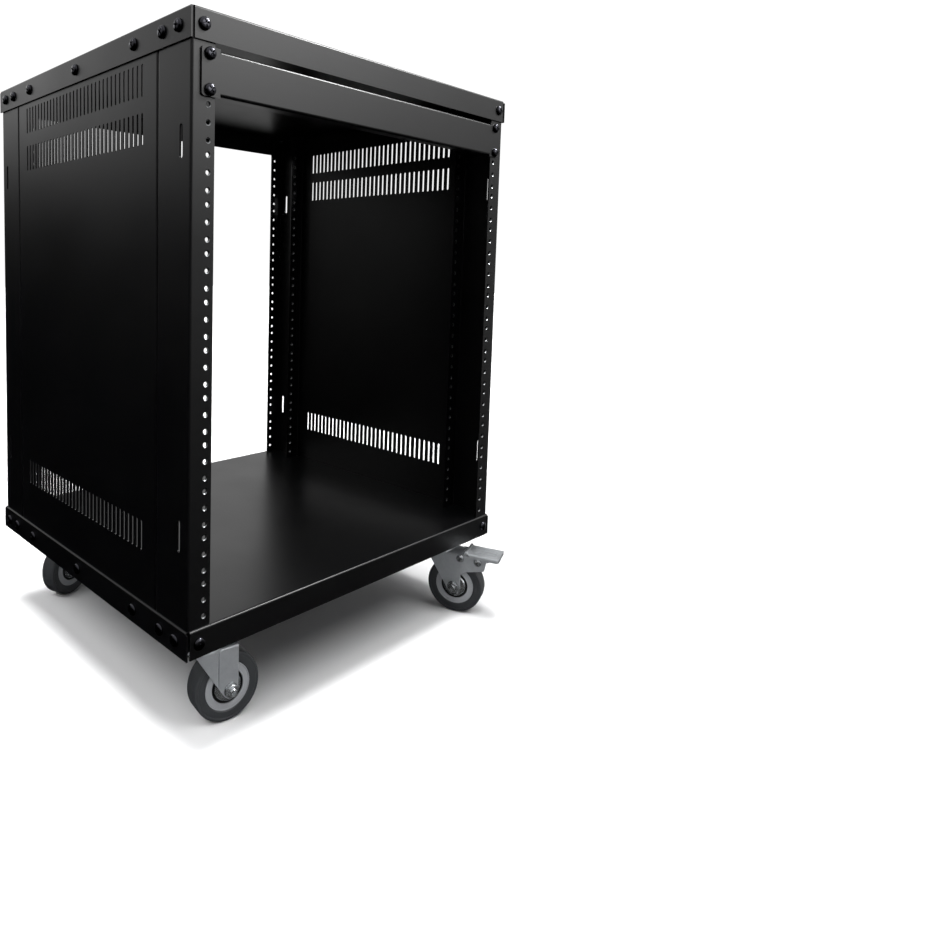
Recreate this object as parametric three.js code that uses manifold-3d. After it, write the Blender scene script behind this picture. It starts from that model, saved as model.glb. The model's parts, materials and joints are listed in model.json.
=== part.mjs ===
// Equipment rack case: an open steel frame for twelve units of nineteen-inch gear, on four swivel casters.
// Millimetres. +X is to the right seen from the front, +Y to the rear, +Z up.
// The origin is on the floor, under the middle of the case.

import * as THREE from "three";
import { mergeVertices } from "three/addons/utils/BufferGeometryUtils.js";
import Module from "manifold-3d";

const wasm = await Module();
wasm.setup();

// Rack standard
const rackUnitHeight = 44.45;
const rackUnits = 12;
const rackPanelWidth = 482.6;
const rackHoleEdge = 6.35;
const rackHoleInset = 8.75;
const rackRailWidth = 15.9;
const rackHoleDiameter = 5.8;

// Case
const caseDepth = 450;
const seatGap = 0.3;
const cutOverrun = 5;

// Trays: the top cover and the base are the same folded sheet
const trayThickness = 1.5;
const trayLip = 28;
const trayClearance = 0.5;
const trayToUnits = 4;
const trayCornerSlit = 1;
const trayScrewInset = 14;
const lipScrewDiameter = 9.4;
const lipScrewHeight = 3.2;
const lipScrewFlat = 5.2;
const lipScrewEdge = 1.3;

// Posts: C sections with rack holes in both flanges
const postThickness = 1.8;
const postWidth = 25.6;
const postDepth = 56;
const postTabLength = 20;
const postTabInset = 7;
const postScrewInset = 18;
const postScrewSpacing = 27;
const postSlotWidth = 3.2;
const postSlotHeight = 31;
const postSlotInset = 16;
const postSlotFromUnits = 83.4;

// Side panels, with three rows of vent slots
const sideThickness = 1.2;
const sideEdgeWidth = 12;
const sideSeam = 0.5;
const sideTabWidth = 22;
const sideTabSpacing = 128;
const ventSlots = 33;
const ventPitch = 8.8;
const ventWidth = 4;
const ventHeight = 31;
const ventTopFromUnits = 18;
const ventSecondFromUnits = 64.4;

// Blank panel in the top unit, and its screws
const blankThickness = 1.6;
const blankUndersize = 0.75;
const blankEarLength = 21;
const blankEarStep = 1.7;
const blankEarRadius = 3;
const blankLip = 12;
const blankHoleDiameter = 6.8;
const screwDiameter = 4.8;
const screwLength = 14;
const screwHeadDiameter = 10;
const screwHeadHeight = 3.6;
const screwHeadFlat = 5.5;
const screwHeadEdge = 1.4;

// Channels under the base tray, which carry the casters
const channelThickness = 2;
const channelBrim = 10;
const channelEndGap = 3;
const channelMargin = 1;

// Casters
const casterInsetX = 49;
const casterInsetY = 46;
const casterTrail = 26;
const plateLength = 88;
const plateWidth = 64;
const plateThickness = 2.5;
const plateHoleDiameter = 8.4;
const plateHoleEdge = 10;
const raceRadius = 22;
const raceTaper = 3;
const raceDepth = 6;
const bearingRadius = 19;
const bearingWall = 5;
const bearingHeight = 3.5;
const kingpinDiameter = 10;
const kingpinHeadDiameter = 18;
const kingpinHead = 2.8;
const kingpinHeadFlat = 12;
const forkThickness = 2.5;
const forkWidth = 34;
const forkLead = 15;
const forkOverWheel = 10;
const forkDome = 7;
const forkBossRadius = 9;
const wheelDiameter = 75;
const tyreWidth = 22;
const tyreDepthShare = 0.307;
const tyreShoulder = 3;
const rimWidth = 20.4;
const rimFaceShare = 0.219;
const rimRecess = 1.4;
const guardGap = 0.9;
const guardCrown = 8;
const axleDiameter = 8;
const boreClearance = 0.3;
const axleHeadAcross = 13;
const axleHeadHeight = 4.5;
const nutHeight = 6;
const axleEnd = 1.5;

// Brake on the braked casters
const armReach = 70;
const armDrop = 3;
const armNoseSlant = 3;
const armDepth = 17.5;
const armRootDepth = 23;
const brakePivotReach = 58;
const brakePivotDrop = 7;
const brakePinDiameter = 6;
const brakePinHeadDiameter = 8.4;
const brakePinHead = 1.7;
const pedalReach = 86;
const pedalStart = 42;
const pedalWidth = 38;
const pedalThickness = 1.8;
const pedalLift = 3.5;
const pedalLip = 6;
const pedalRollRadius = 2.2;
const cheekThickness = 2.2;
const cheekFront = 46;
const cheekRear = 66;
const shoeReach = 55;
const shoeThickness = 2;
const shoeDrop = 14;

// How finely round work is faceted
const rackHoleSides = 4;
const hexSides = 6;
const discSides = 8;
const rimSides = 12;
const wheelSides = 18;
const cornerSteps = 2;
const bossSteps = 3;

// Heights of the main faces, from the floor up
const forkTop = wheelDiameter + forkOverWheel;
const lowerRaceTop = forkTop + forkDome;
const upperRaceBottom = lowerRaceTop + bearingHeight;
const plateBottom = upperRaceBottom + raceDepth;
const casterHeight = plateBottom + plateThickness;
const baseBottom = casterHeight;
const baseTop = baseBottom + trayLip;
const unitsBottom = baseTop + trayToUnits;
const unitsTop = unitsBottom + rackUnits * rackUnitHeight;
const coverTop = unitsTop + trayToUnits + trayLip;
const postBottom = baseTop + seatGap;
const postTop = coverTop - trayThickness - seatGap;
const tabBottom = baseTop - postTabLength;

// Half widths and depths
const railHalf = rackPanelWidth / 2 - rackRailWidth;
const rackHoleX = rackPanelWidth / 2 - rackHoleInset;
const halfWidth = railHalf + postWidth;
const halfDepth = caseDepth / 2;
const trayInnerX = halfWidth + trayClearance;
const trayInnerY = halfDepth + trayClearance;
const trayHalfX = trayInnerX + trayThickness;
const trayHalfY = trayInnerY + trayThickness;
const sideHalf = halfDepth - postDepth - sideSeam;
const swivelX = trayHalfX - casterInsetX;
const swivelY = trayHalfY - casterInsetY;

const paint = new THREE.MeshStandardMaterial({ color: 0x1c1c1e, roughness: 0.42, metalness: 0.1 });
const paintLight = new THREE.MeshStandardMaterial({ color: 0x26272a, roughness: 0.38, metalness: 0.1 });
const zinc = new THREE.MeshStandardMaterial({ color: 0xa9abad, roughness: 0.35, metalness: 0.9 });
const blackSteel = new THREE.MeshStandardMaterial({ color: 0x121214, roughness: 0.3, metalness: 0.7 });
const rubber = new THREE.MeshStandardMaterial({ color: 0x66686b, roughness: 0.75, metalness: 0 });
const rimPlastic = new THREE.MeshStandardMaterial({ color: 0xb3b5b7, roughness: 0.5, metalness: 0 });

// A closed geometry as a solid that can be joined and cut. Triangles that collapsed on an axis are dropped
function toSolid(geometry) {
  geometry.deleteAttribute("normal");
  geometry.deleteAttribute("uv");
  const merged = mergeVertices(geometry);
  const corners = merged.index.array;
  const kept = [];
  for (let i = 0; i < corners.length; i += 3) {
    const [a, b, c] = [corners[i], corners[i + 1], corners[i + 2]];
    if (a !== b && b !== c && c !== a) kept.push(a, b, c);
  }
  return new wasm.Manifold(new wasm.Mesh({
    numProp: 3,
    vertProperties: merged.attributes.position.array,
    triVerts: Uint32Array.from(kept),
  }));
}

function toMesh(name, solid, material) {
  const data = solid.getMesh();
  const geometry = new THREE.BufferGeometry();
  geometry.setAttribute("position", new THREE.BufferAttribute(data.vertProperties, data.numProp));
  geometry.setIndex(new THREE.BufferAttribute(data.triVerts, 1));
  geometry.computeVertexNormals();
  const mesh = new THREE.Mesh(geometry, material);
  mesh.name = name;
  return mesh;
}

const join = (solids) => solids.reduce((whole, piece) => whole.add(piece));
const cut = (solid, cutters) => cutters.reduce((whole, cutter) => whole.subtract(cutter), solid);
const range = (a, b) => [Math.min(a, b), Math.max(a, b)];

// A block between two values on each axis
function block([x0, x1], [y0, y1], [z0, z1]) {
  const geometry = new THREE.BoxGeometry(x1 - x0, y1 - y0, z1 - z0);
  geometry.translate((x0 + x1) / 2, (y0 + y1) / 2, (z0 + z1) / 2);
  return toSolid(geometry);
}

// Radius of the corners of a polygon drawn round a circle: holes and bores never close in on what they hold
const drawnRound = (radius, sides) => radius / Math.cos(Math.PI / sides);

// Outlines of holes, as points across and up
function roundHole(across, up, diameter, sides) {
  const radius = drawnRound(diameter / 2, sides);
  return Array.from({ length: sides }, (_, i) => {
    const angle = ((2 * i + 1) * Math.PI) / sides;
    return new THREE.Vector2(across + radius * Math.cos(angle), up + radius * Math.sin(angle));
  });
}

function rectangle(a0, a1, u0, u1) {
  return [[a0, u0], [a1, u0], [a1, u1], [a0, u1]].map(([a, u]) => new THREE.Vector2(a, u));
}

function slotHole(across, up, width, height) {
  return rectangle(across - width / 2, across + width / 2, up - height / 2, up + height / 2);
}

// Sheet metal cut to an outline with holes, between two values on the axis it stands across
const standing = {
  x: new THREE.Matrix4().set(0, 0, 1, 0, 1, 0, 0, 0, 0, 1, 0, 0, 0, 0, 0, 1),
  y: new THREE.Matrix4().set(1, 0, 0, 0, 0, 0, -1, 0, 0, 1, 0, 0, 0, 0, 0, 1),
  z: new THREE.Matrix4(),
};

function prism(axis, outline, [from, to], curveSegments) {
  const shape = outline instanceof THREE.Shape ? outline : new THREE.Shape(outline);
  const geometry = new THREE.ExtrudeGeometry(shape, { depth: to - from, bevelEnabled: false, curveSegments });
  geometry.translate(0, 0, axis === "y" ? -to : from);
  geometry.applyMatrix4(standing[axis]);
  return toSolid(geometry);
}

function sheet(axis, outline, [from, to], { holes = [], curveSegments = 1 } = {}) {
  const cutters = holes.map((hole) => prism(axis, hole, [from - cutOverrun, to + cutOverrun], 1));
  return cut(prism(axis, outline, [from, to], curveSegments), cutters);
}

// Turned work: a profile of radius and place along the axis, drawn so that the solid lies on its left
function turned(profile, sides) {
  const points = profile.map(([radius, along]) => new THREE.Vector2(radius, along));
  return new THREE.LatheGeometry(points, sides);
}

const turnedAboutY = (profile, sides) => toSolid(turned(profile, sides));
const turnedAboutZ = (profile, sides) => toSolid(turned(profile, sides).rotateX(Math.PI / 2));

function bore(axis, radius, from, to, sides, place) {
  return rod(axis, drawnRound(radius, sides), from - cutOverrun, to + cutOverrun, sides, place);
}

function rod(axis, radius, from, to, sides, [a, b] = [0, 0]) {
  const geometry = new THREE.CylinderGeometry(radius, radius, to - from, sides);
  geometry.translate(0, (from + to) / 2, 0);
  if (axis === "z") geometry.rotateX(Math.PI / 2).translate(a, b, 0);
  if (axis === "y") geometry.translate(a, 0, b);
  return toSolid(geometry);
}

// Places of the rack holes, from the lowest unit up: three to a unit
function rackHoleHeights() {
  const heights = [];
  for (let unit = 0; unit < rackUnits; unit += 1) {
    const bottom = unitsBottom + unit * rackUnitHeight;
    heights.push(bottom + rackHoleEdge, bottom + rackUnitHeight / 2, bottom + rackUnitHeight - rackHoleEdge);
  }
  return heights;
}

// Heads of the screws through a tray's lips, which go into the posts and side panels
function lipScrews(height) {
  const head = turnedAboutY([
    [0, -lipScrewHeight],
    [lipScrewFlat / 2, -lipScrewHeight],
    [lipScrewDiameter / 2, -lipScrewEdge],
    [lipScrewDiameter / 2, trayThickness / 2],
    [0, trayThickness / 2],
  ], hexSides);
  const nearPost = halfDepth - postScrewInset;
  const alongSide = [0, sideTabSpacing, nearPost - postScrewSpacing, nearPost];
  const heads = [];
  for (const side of [-1, 1]) {
    const facingSide = head.rotate([0, 0, side * 90]);
    const facingEnd = side < 0 ? head : head.rotate([0, 0, 180]);
    const places = [...alongSide, ...alongSide.slice(1).map((y) => -y)];
    heads.push(...places.map((y) => facingSide.translate([side * trayHalfX, y, height])));
    for (const x of [trayScrewInset - trayHalfX, trayHalfX - trayScrewInset]) {
      heads.push(facingEnd.translate([x, side * trayHalfY, height]));
    }
  }
  return heads;
}

// Folded tray with its lips down, screwed on, and a slit at each corner
function tray(name, top, slots) {
  const heights = [top - trayLip, top];
  const lipReach = trayInnerX - trayCornerSlit;
  const lipOutline = rectangle(-lipReach, lipReach, ...heights);
  const floor = rectangle(-trayHalfX, trayHalfX, -trayHalfY, trayHalfY);
  const pieces = [sheet("z", floor, [top - trayThickness, top], { holes: slots })];
  for (const side of [-1, 1]) {
    pieces.push(block(range(side * trayInnerX, side * trayHalfX), [-trayHalfY, trayHalfY], heights));
    pieces.push(sheet("y", lipOutline, range(side * trayInnerY, side * trayHalfY)));
  }
  pieces.push(...lipScrews(top - trayLip / 2));
  return toMesh(name, join(pieces), paintLight);
}

// Slots in the base for the tabs of the posts and side panels
function tabSlots() {
  const slots = [];
  for (const side of [-1, 1]) {
    for (const end of [-1, 1]) {
      const [y0, y1] = postTab(end);
      const x = range(side * (halfWidth - postThickness - seatGap), side * trayInnerX);
      slots.push(rectangle(...x, y0 - seatGap, y1 + seatGap));
    }
    for (const y of sideTabPlaces()) {
      const x = range(side * (halfWidth - sideThickness - seatGap), side * trayInnerX);
      const half = sideTabWidth / 2 + seatGap;
      slots.push(rectangle(...x, y - half, y + half));
    }
  }
  return slots;
}

function postTab(end) {
  return range(end * (halfDepth - postTabInset), end * (halfDepth - postDepth + postTabInset));
}

function sideTabPlaces() {
  return [-sideTabSpacing, 0, sideTabSpacing];
}

// Outline of a standing sheet, with tabs that reach down through the base
function tabbedOutline([a0, a1], tabs) {
  const points = [[a0, postTop], [a0, postBottom]];
  for (const [t0, t1] of tabs) {
    points.push([t0, postBottom], [t0, tabBottom], [t1, tabBottom], [t1, postBottom]);
  }
  points.push([a1, postBottom], [a1, postTop]);
  return points.map(([a, u]) => new THREE.Vector2(a, u));
}

// Corner post. side is -1 on the left and 1 on the right, end is -1 at the front and 1 at the rear
function post(name, side, end) {
  const outerY = end * halfDepth;
  const innerY = end * (halfDepth - postDepth);
  const holes = rackHoleHeights().map((height) => (
    roundHole(side * rackHoleX, height, rackHoleDiameter, rackHoleSides)
  ));
  const webSlots = [unitsBottom + postSlotFromUnits, unitsTop - postSlotFromUnits].map((height) => (
    slotHole(end * (halfDepth - postSlotInset), height, postSlotWidth, postSlotHeight)
  ));
  const web = tabbedOutline(range(outerY, innerY), [postTab(end)]);
  const flange = rectangle(...range(side * halfWidth, side * railHalf), postBottom, postTop);
  const pieces = [
    sheet("x", web, range(side * (halfWidth - postThickness), side * halfWidth), { holes: webSlots }),
    sheet("y", flange, range(outerY, outerY - end * postThickness), { holes }),
    sheet("y", flange, range(innerY, innerY + end * postThickness), { holes }),
  ];
  return toMesh(name, join(pieces), paint);
}

// Side panel between the posts, with its front and rear edges turned in
function sidePanel(name, side) {
  const firstSlot = (-(ventSlots - 1) / 2) * ventPitch;
  const places = Array.from({ length: ventSlots }, (_, i) => firstSlot + i * ventPitch);
  const rows = [
    unitsTop - ventTopFromUnits,
    unitsTop - ventSecondFromUnits,
    unitsBottom + ventSecondFromUnits,
  ];
  const vents = rows.flatMap((height) => places.map((y) => slotHole(y, height, ventWidth, ventHeight)));
  const tabs = sideTabPlaces().map((y) => [y - sideTabWidth / 2, y + sideTabWidth / 2]);
  const outline = tabbedOutline([-sideHalf, sideHalf], tabs);
  const wall = range(side * (halfWidth - sideThickness), side * halfWidth);
  const face = sheet("x", outline, wall, { holes: vents });
  const edges = [-1, 1].map((end) => block(
    range(side * (halfWidth - sideEdgeWidth), side * halfWidth),
    range(end * sideHalf, end * (sideHalf - sideThickness)),
    [postBottom, postTop],
  ));
  return toMesh(name, join([face, ...edges]), paint);
}

// Blank panel: ears at full unit height, the middle a little lower with its edges folded back
const blankBack = -halfDepth - seatGap;
const blankFront = blankBack - blankThickness;
const blankCentre = unitsTop - rackUnitHeight / 2;
const blankEarHalf = (rackUnitHeight - blankUndersize) / 2;
const blankMiddleHalf = blankEarHalf - blankEarStep;
const blankEarInner = rackPanelWidth / 2 - blankEarLength;

function earOutline(side) {
  const outer = (side * rackPanelWidth) / 2;
  const turn = outer - side * blankEarRadius;
  const [low, high] = [blankCentre - blankEarHalf, blankCentre + blankEarHalf];
  const shape = new THREE.Shape();
  shape.moveTo(side * blankEarInner, low);
  shape.lineTo(turn, low);
  shape.quadraticCurveTo(outer, low, outer, low + blankEarRadius);
  shape.lineTo(outer, high - blankEarRadius);
  shape.quadraticCurveTo(outer, high, turn, high);
  shape.lineTo(side * blankEarInner, high);
  return shape;
}

function blankPanel() {
  const holes = screwPlaces().map(([x, z]) => roundHole(x, z, blankHoleDiameter, hexSides));
  const ends = [blankCentre - blankMiddleHalf, blankCentre + blankMiddleHalf];
  const pieces = [block([-blankEarInner, blankEarInner], [blankFront, blankBack], ends)];
  for (const side of [-1, 1]) {
    pieces.push(sheet("y", earOutline(side), [blankFront, blankBack], { holes, curveSegments: cornerSteps }));
    const edge = blankCentre + side * blankMiddleHalf;
    const lip = range(edge, edge - side * blankThickness);
    pieces.push(block([-blankEarInner, blankEarInner], [blankFront, blankBack + blankLip], lip));
  }
  return toMesh("blank_panel", join(pieces), paintLight);
}

function screwPlaces() {
  const heights = [unitsTop - rackHoleEdge, unitsTop - rackUnitHeight + rackHoleEdge];
  return [-1, 1].flatMap((side) => heights.map((height) => [side * rackHoleX, height]));
}

// Pan-head screw through the blank panel into the post, its head to the front
function panelScrew(name, [x, z]) {
  const profile = [
    [0, -screwHeadHeight],
    [screwHeadFlat / 2, -screwHeadHeight],
    [screwHeadDiameter / 2, -screwHeadEdge],
    [screwHeadDiameter / 2, 0],
    [screwDiameter / 2, 0],
    [screwDiameter / 2, screwLength],
    [0, screwLength],
  ];
  const mesh = toMesh(name, turnedAboutY(profile, hexSides), blackSteel);
  mesh.position.set(x, blankFront - seatGap, z);
  return mesh;
}

// Hat-section channel under the base: brims against its underside, the crown down to carry two casters
function casterChannel(name, end) {
  const top = baseTop - trayThickness - seatGap;
  const bottom = casterHeight + seatGap;
  const crown = plateWidth / 2 + channelMargin;
  const inner = crown - channelThickness;
  const half = [
    [crown + channelBrim, top],
    [crown + channelBrim, top - channelThickness],
    [crown, top - channelThickness],
    [crown, bottom],
  ];
  const outer = [...half, ...half.map(([a, u]) => [-a, u]).reverse()];
  const crownTop = bottom + channelThickness;
  const inside = [[-inner, top], [-inner, crownTop], [inner, crownTop], [inner, top]];
  const outline = [...outer, ...inside].map(([a, u]) => new THREE.Vector2(end * swivelY + a, u));
  const reach = trayInnerX - channelEndGap;
  return toMesh(name, sheet("x", outline, [-reach, reach]), paint);
}

// Casters. Their pieces are laid out from the swivel axis on the floor, the wheel trailing along +X
const axleHeight = wheelDiameter / 2;
const tyreDepth = axleHeight * tyreDepthShare;
const rimFace = axleHeight * rimFaceShare;
const kingpinBore = kingpinDiameter / 2 + boreClearance;
const legInner = forkWidth / 2 - forkThickness;
const axleBore = axleDiameter / 2 + boreClearance;

function casterPlate(name) {
  const across = plateLength / 2 - plateHoleEdge;
  const along = plateWidth / 2 - plateHoleEdge;
  const holes = [[-1, -1], [1, -1], [1, 1], [-1, 1]].map(([i, j]) => (
    roundHole(i * across, j * along, plateHoleDiameter, rackHoleSides)
  ));
  const outline = rectangle(-plateLength / 2, plateLength / 2, -plateWidth / 2, plateWidth / 2);
  const plate = sheet("z", outline, [plateBottom, casterHeight], { holes });
  const race = turnedAboutZ([
    [0, upperRaceBottom],
    [raceRadius - raceTaper, upperRaceBottom],
    [raceRadius, plateBottom],
    [raceRadius, casterHeight],
    [0, casterHeight],
  ], discSides);
  const pinBore = bore("z", kingpinBore, upperRaceBottom, casterHeight, hexSides);
  return toMesh(name, cut(join([plate, race]), [pinBore]), zinc);
}

// Rivet that holds the fork to the plate, its head under the fork
function kingpin(name) {
  const headTop = forkTop - forkThickness - seatGap;
  const profile = [
    [0, headTop - kingpinHead],
    [kingpinHeadFlat / 2, headTop - kingpinHead],
    [kingpinHeadDiameter / 2, headTop],
    [kingpinDiameter / 2, headTop],
    [kingpinDiameter / 2, casterHeight - seatGap],
    [0, casterHeight - seatGap],
  ];
  return toMesh(name, turnedAboutZ(profile, hexSides), zinc);
}

// Ring of balls between the two races
function bearing(name) {
  const inner = bearingRadius - bearingWall;
  const bottom = lowerRaceTop + seatGap;
  const top = upperRaceBottom - seatGap;
  const profile = [
    [inner, bottom],
    [bearingRadius, bottom],
    [bearingRadius, top],
    [inner, top],
    [inner, bottom],
  ];
  return toMesh(name, turnedAboutZ(profile, discSides), blackSteel);
}

// One leg of the fork: upright behind, slanted in front, round at the axle
function legOutline() {
  const shape = new THREE.Shape();
  const rise = forkTop - axleHeight;
  const run = casterTrail + forkLead;
  const tangent = Math.atan2(rise, -run) + Math.acos(forkBossRadius / Math.hypot(rise, run));
  shape.moveTo(-forkLead, forkTop);
  shape.lineTo(casterTrail + forkBossRadius, forkTop);
  shape.absarc(casterTrail, axleHeight, forkBossRadius, 0, tangent - 2 * Math.PI, true);
  return shape;
}

// Arm that a braked fork carries behind each leg
function armOutline() {
  const root = casterTrail + forkBossRadius;
  const points = [
    [0, forkTop],
    [root, forkTop],
    [armReach, forkTop - armDrop],
    [armReach - armNoseSlant, forkTop - armDepth],
    [root, forkTop - armRootDepth],
    [casterTrail, forkTop - armRootDepth],
  ];
  return points.map(([a, u]) => new THREE.Vector2(a, u));
}

function fork(name, braked) {
  const tail = casterTrail + forkBossRadius;
  const top = [forkTop - forkThickness, forkTop];
  const pieces = [block([-forkLead, tail], [-forkWidth / 2, forkWidth / 2], top)];
  for (const side of [-1, 1]) {
    const across = range(side * legInner, (side * forkWidth) / 2);
    pieces.push(sheet("y", legOutline(), across, { curveSegments: bossSteps }));
    if (braked) pieces.push(sheet("y", armOutline(), across));
  }
  pieces.push(turnedAboutZ([
    [0, forkTop - forkThickness],
    [raceRadius, forkTop - forkThickness],
    [raceRadius, forkTop],
    [raceRadius - raceTaper, lowerRaceTop],
    [0, lowerRaceTop],
  ], discSides));
  const cutters = [
    bore("z", kingpinBore, forkTop - forkThickness, lowerRaceTop, hexSides),
    bore("y", axleBore, -forkWidth / 2, forkWidth / 2, hexSides, [casterTrail, axleHeight]),
  ];
  if (braked) cutters.push(bore("y", brakeBore, -forkWidth / 2, forkWidth / 2, hexSides, brakePivot));
  return toMesh(name, cut(join(pieces), cutters), zinc);
}

// Tyre, turned so that it stands on a facet
function tyre(name) {
  const outer = drawnRound(wheelDiameter / 2, wheelSides);
  const inner = drawnRound(wheelDiameter / 2 - tyreDepth, wheelSides);
  const half = tyreWidth / 2;
  const profile = [
    [inner, -half],
    [outer - tyreShoulder, -half],
    [outer, -half + tyreShoulder],
    [outer, half - tyreShoulder],
    [outer - tyreShoulder, half],
    [inner, half],
    [inner, -half],
  ];
  const mesh = toMesh(name, turnedAboutY(profile, wheelSides), rubber);
  mesh.rotation.y = Math.PI / wheelSides;
  return mesh;
}

// Wheel centre: a raised ring inside the tyre, and a recess on each side for a thread guard
const rimOuter = wheelDiameter / 2 - tyreDepth - seatGap;
const rimInner = rimOuter - rimFace;
const recessHalf = rimWidth / 2 - rimRecess;

function rim(name) {
  const half = rimWidth / 2;
  const borePolygon = drawnRound(axleBore, rimSides);
  const profile = [
    [borePolygon, -recessHalf],
    [rimInner, -recessHalf],
    [rimInner, -half],
    [rimOuter, -half],
    [rimOuter, half],
    [rimInner, half],
    [rimInner, recessHalf],
    [borePolygon, recessHalf],
    [borePolygon, -recessHalf],
  ];
  return toMesh(name, turnedAboutY(profile, rimSides), rimPlastic);
}

// Domed guard between the wheel centre and a leg of the fork
function guard(name, side) {
  const edge = rimInner - guardGap;
  const inside = recessHalf + seatGap;
  const outside = legInner - seatGap;
  const borePolygon = drawnRound(axleBore, discSides);
  const profile = [
    [borePolygon, inside],
    [edge, inside],
    [guardCrown, outside],
    [borePolygon, outside],
    [borePolygon, inside],
  ];
  const geometry = turned(profile, discSides);
  if (side < 0) geometry.rotateX(Math.PI);
  return toMesh(name, toSolid(geometry), zinc);
}

// Axle bolt with its head on the outside leg, and the nut on the other
function axle(name) {
  const outside = forkWidth / 2 + seatGap;
  const headEnd = -outside - axleHeadHeight;
  const head = rod("y", drawnRound(axleHeadAcross / 2, hexSides), headEnd, -outside, hexSides);
  const shankStart = -outside - axleHeadHeight / 2;
  const shank = rod("y", axleDiameter / 2, shankStart, outside + nutHeight + axleEnd, hexSides);
  return toMesh(name, join([head, shank]), zinc);
}

function axleNut(name) {
  const outside = forkWidth / 2 + seatGap;
  const body = rod("y", drawnRound(axleHeadAcross / 2, hexSides), outside, outside + nutHeight, hexSides);
  return toMesh(name, cut(body, [bore("y", axleBore, outside, outside + nutHeight, hexSides)]), zinc);
}

// Brake: a pedal pinned between the arms, with a shoe behind the tyre that swings in when its tip goes down
const brakeBore = brakePinDiameter / 2 + boreClearance;
const brakePivot = [brakePivotReach, forkTop - brakePivotDrop];

function brakePedal(name) {
  const plateTop = forkTop + pedalLift;
  const plateFloor = plateTop - pedalThickness;
  const lipFloor = plateTop - pedalLip;
  const half = pedalWidth / 2;
  const cheekOuter = legInner - seatGap;
  const pivotHeight = brakePivot[1];
  const shoeHeights = [pivotHeight - shoeDrop, pivotHeight - brakePinDiameter];
  const cheek = [
    [cheekFront, plateTop - pedalThickness / 2],
    [cheekRear, plateTop - pedalThickness / 2],
    [cheekRear, pivotHeight],
    [shoeReach + shoeThickness, shoeHeights[0]],
    [shoeReach, shoeHeights[0]],
    [shoeReach - shoeThickness, pivotHeight],
  ].map(([a, u]) => new THREE.Vector2(a, u));
  const pieces = [
    block([pedalStart, pedalReach], [-half, half], [plateFloor, plateTop]),
    block([pedalReach - pedalThickness, pedalReach], [-half, half], [lipFloor, plateTop]),
    rod("y", pedalRollRadius, -half, half, hexSides, [pedalStart, plateTop - pedalThickness / 2]),
    block([shoeReach, shoeReach + shoeThickness], [-cheekOuter, cheekOuter], shoeHeights),
  ];
  for (const side of [-1, 1]) {
    const lipAcross = range(side * half, side * (half - pedalThickness));
    pieces.push(block([pedalStart + pedalRollRadius, pedalReach], lipAcross, [lipFloor, plateTop]));
    pieces.push(sheet("y", cheek, range(side * cheekOuter, side * (cheekOuter - cheekThickness))));
  }
  const pinBore = bore("y", brakeBore, -cheekOuter, cheekOuter, hexSides, brakePivot);
  return toMesh(name, cut(join(pieces), [pinBore]), zinc);
}

function brakePin(name) {
  const outside = forkWidth / 2 + seatGap;
  const profile = [
    [0, -outside - brakePinHead],
    [brakePinHeadDiameter / 2, -outside - brakePinHead],
    [brakePinHeadDiameter / 2, -outside],
    [brakePinDiameter / 2, -outside],
    [brakePinDiameter / 2, outside],
    [brakePinHeadDiameter / 2, outside],
    [brakePinHeadDiameter / 2, outside + brakePinHead],
    [0, outside + brakePinHead],
  ];
  const mesh = toMesh(name, turnedAboutY(profile, hexSides), zinc);
  mesh.position.set(brakePivot[0], 0, brakePivot[1]);
  return mesh;
}

// One caster under a corner of the case, its wheel turned to its angle at rest
function caster({ name, side, end, angle, braked }) {
  const fixed = new THREE.Group();
  fixed.name = `${name}_caster`;
  fixed.position.set(side * swivelX, end * swivelY, 0);
  fixed.add(casterPlate(`${name}_caster_plate`), kingpin(`${name}_caster_kingpin`));

  const swivel = new THREE.Group();
  swivel.name = `${name}_swivel`;
  swivel.rotation.z = THREE.MathUtils.degToRad(angle);
  swivel.add(bearing(`${name}_caster_bearing`), fork(`${name}_caster_fork`, braked));
  if (braked) swivel.add(brakePedal(`${name}_brake_pedal`), brakePin(`${name}_brake_pin`));

  const wheel = new THREE.Group();
  wheel.name = `${name}_wheel`;
  wheel.position.set(casterTrail, 0, axleHeight);
  wheel.add(
    tyre(`${name}_tyre`),
    rim(`${name}_wheel_centre`),
    guard(`${name}_outer_guard`, -1),
    guard(`${name}_inner_guard`, 1),
    axle(`${name}_axle`),
    axleNut(`${name}_axle_nut`),
  );
  swivel.add(wheel);
  fixed.add(swivel);
  return fixed;
}

const casters = [
  { name: "front_left", side: -1, end: -1, angle: -10, braked: false },
  { name: "front_right", side: 1, end: -1, angle: -70, braked: true },
  { name: "rear_left", side: -1, end: 1, angle: 20, braked: false },
  { name: "rear_right", side: 1, end: 1, angle: 70, braked: true },
];

const screwNames = ["left_upper", "left_lower", "right_upper", "right_lower"];

const rackCase = new THREE.Group();
rackCase.add(
  tray("top_cover", coverTop, []),
  tray("base_tray", baseTop, tabSlots()),
  post("front_left_post", -1, -1),
  post("front_right_post", 1, -1),
  post("rear_left_post", -1, 1),
  post("rear_right_post", 1, 1),
  sidePanel("left_side_panel", -1),
  sidePanel("right_side_panel", 1),
  casterChannel("front_caster_channel", -1),
  casterChannel("rear_caster_channel", 1),
  blankPanel(),
  ...screwPlaces().map((place, i) => panelScrew(`panel_screw_${screwNames[i]}`, place)),
  ...casters.map(caster),
);

export default rackCase;
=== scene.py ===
import bpy
import bmesh
import json
import math
import numpy as np
from mathutils import Matrix, Vector


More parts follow.
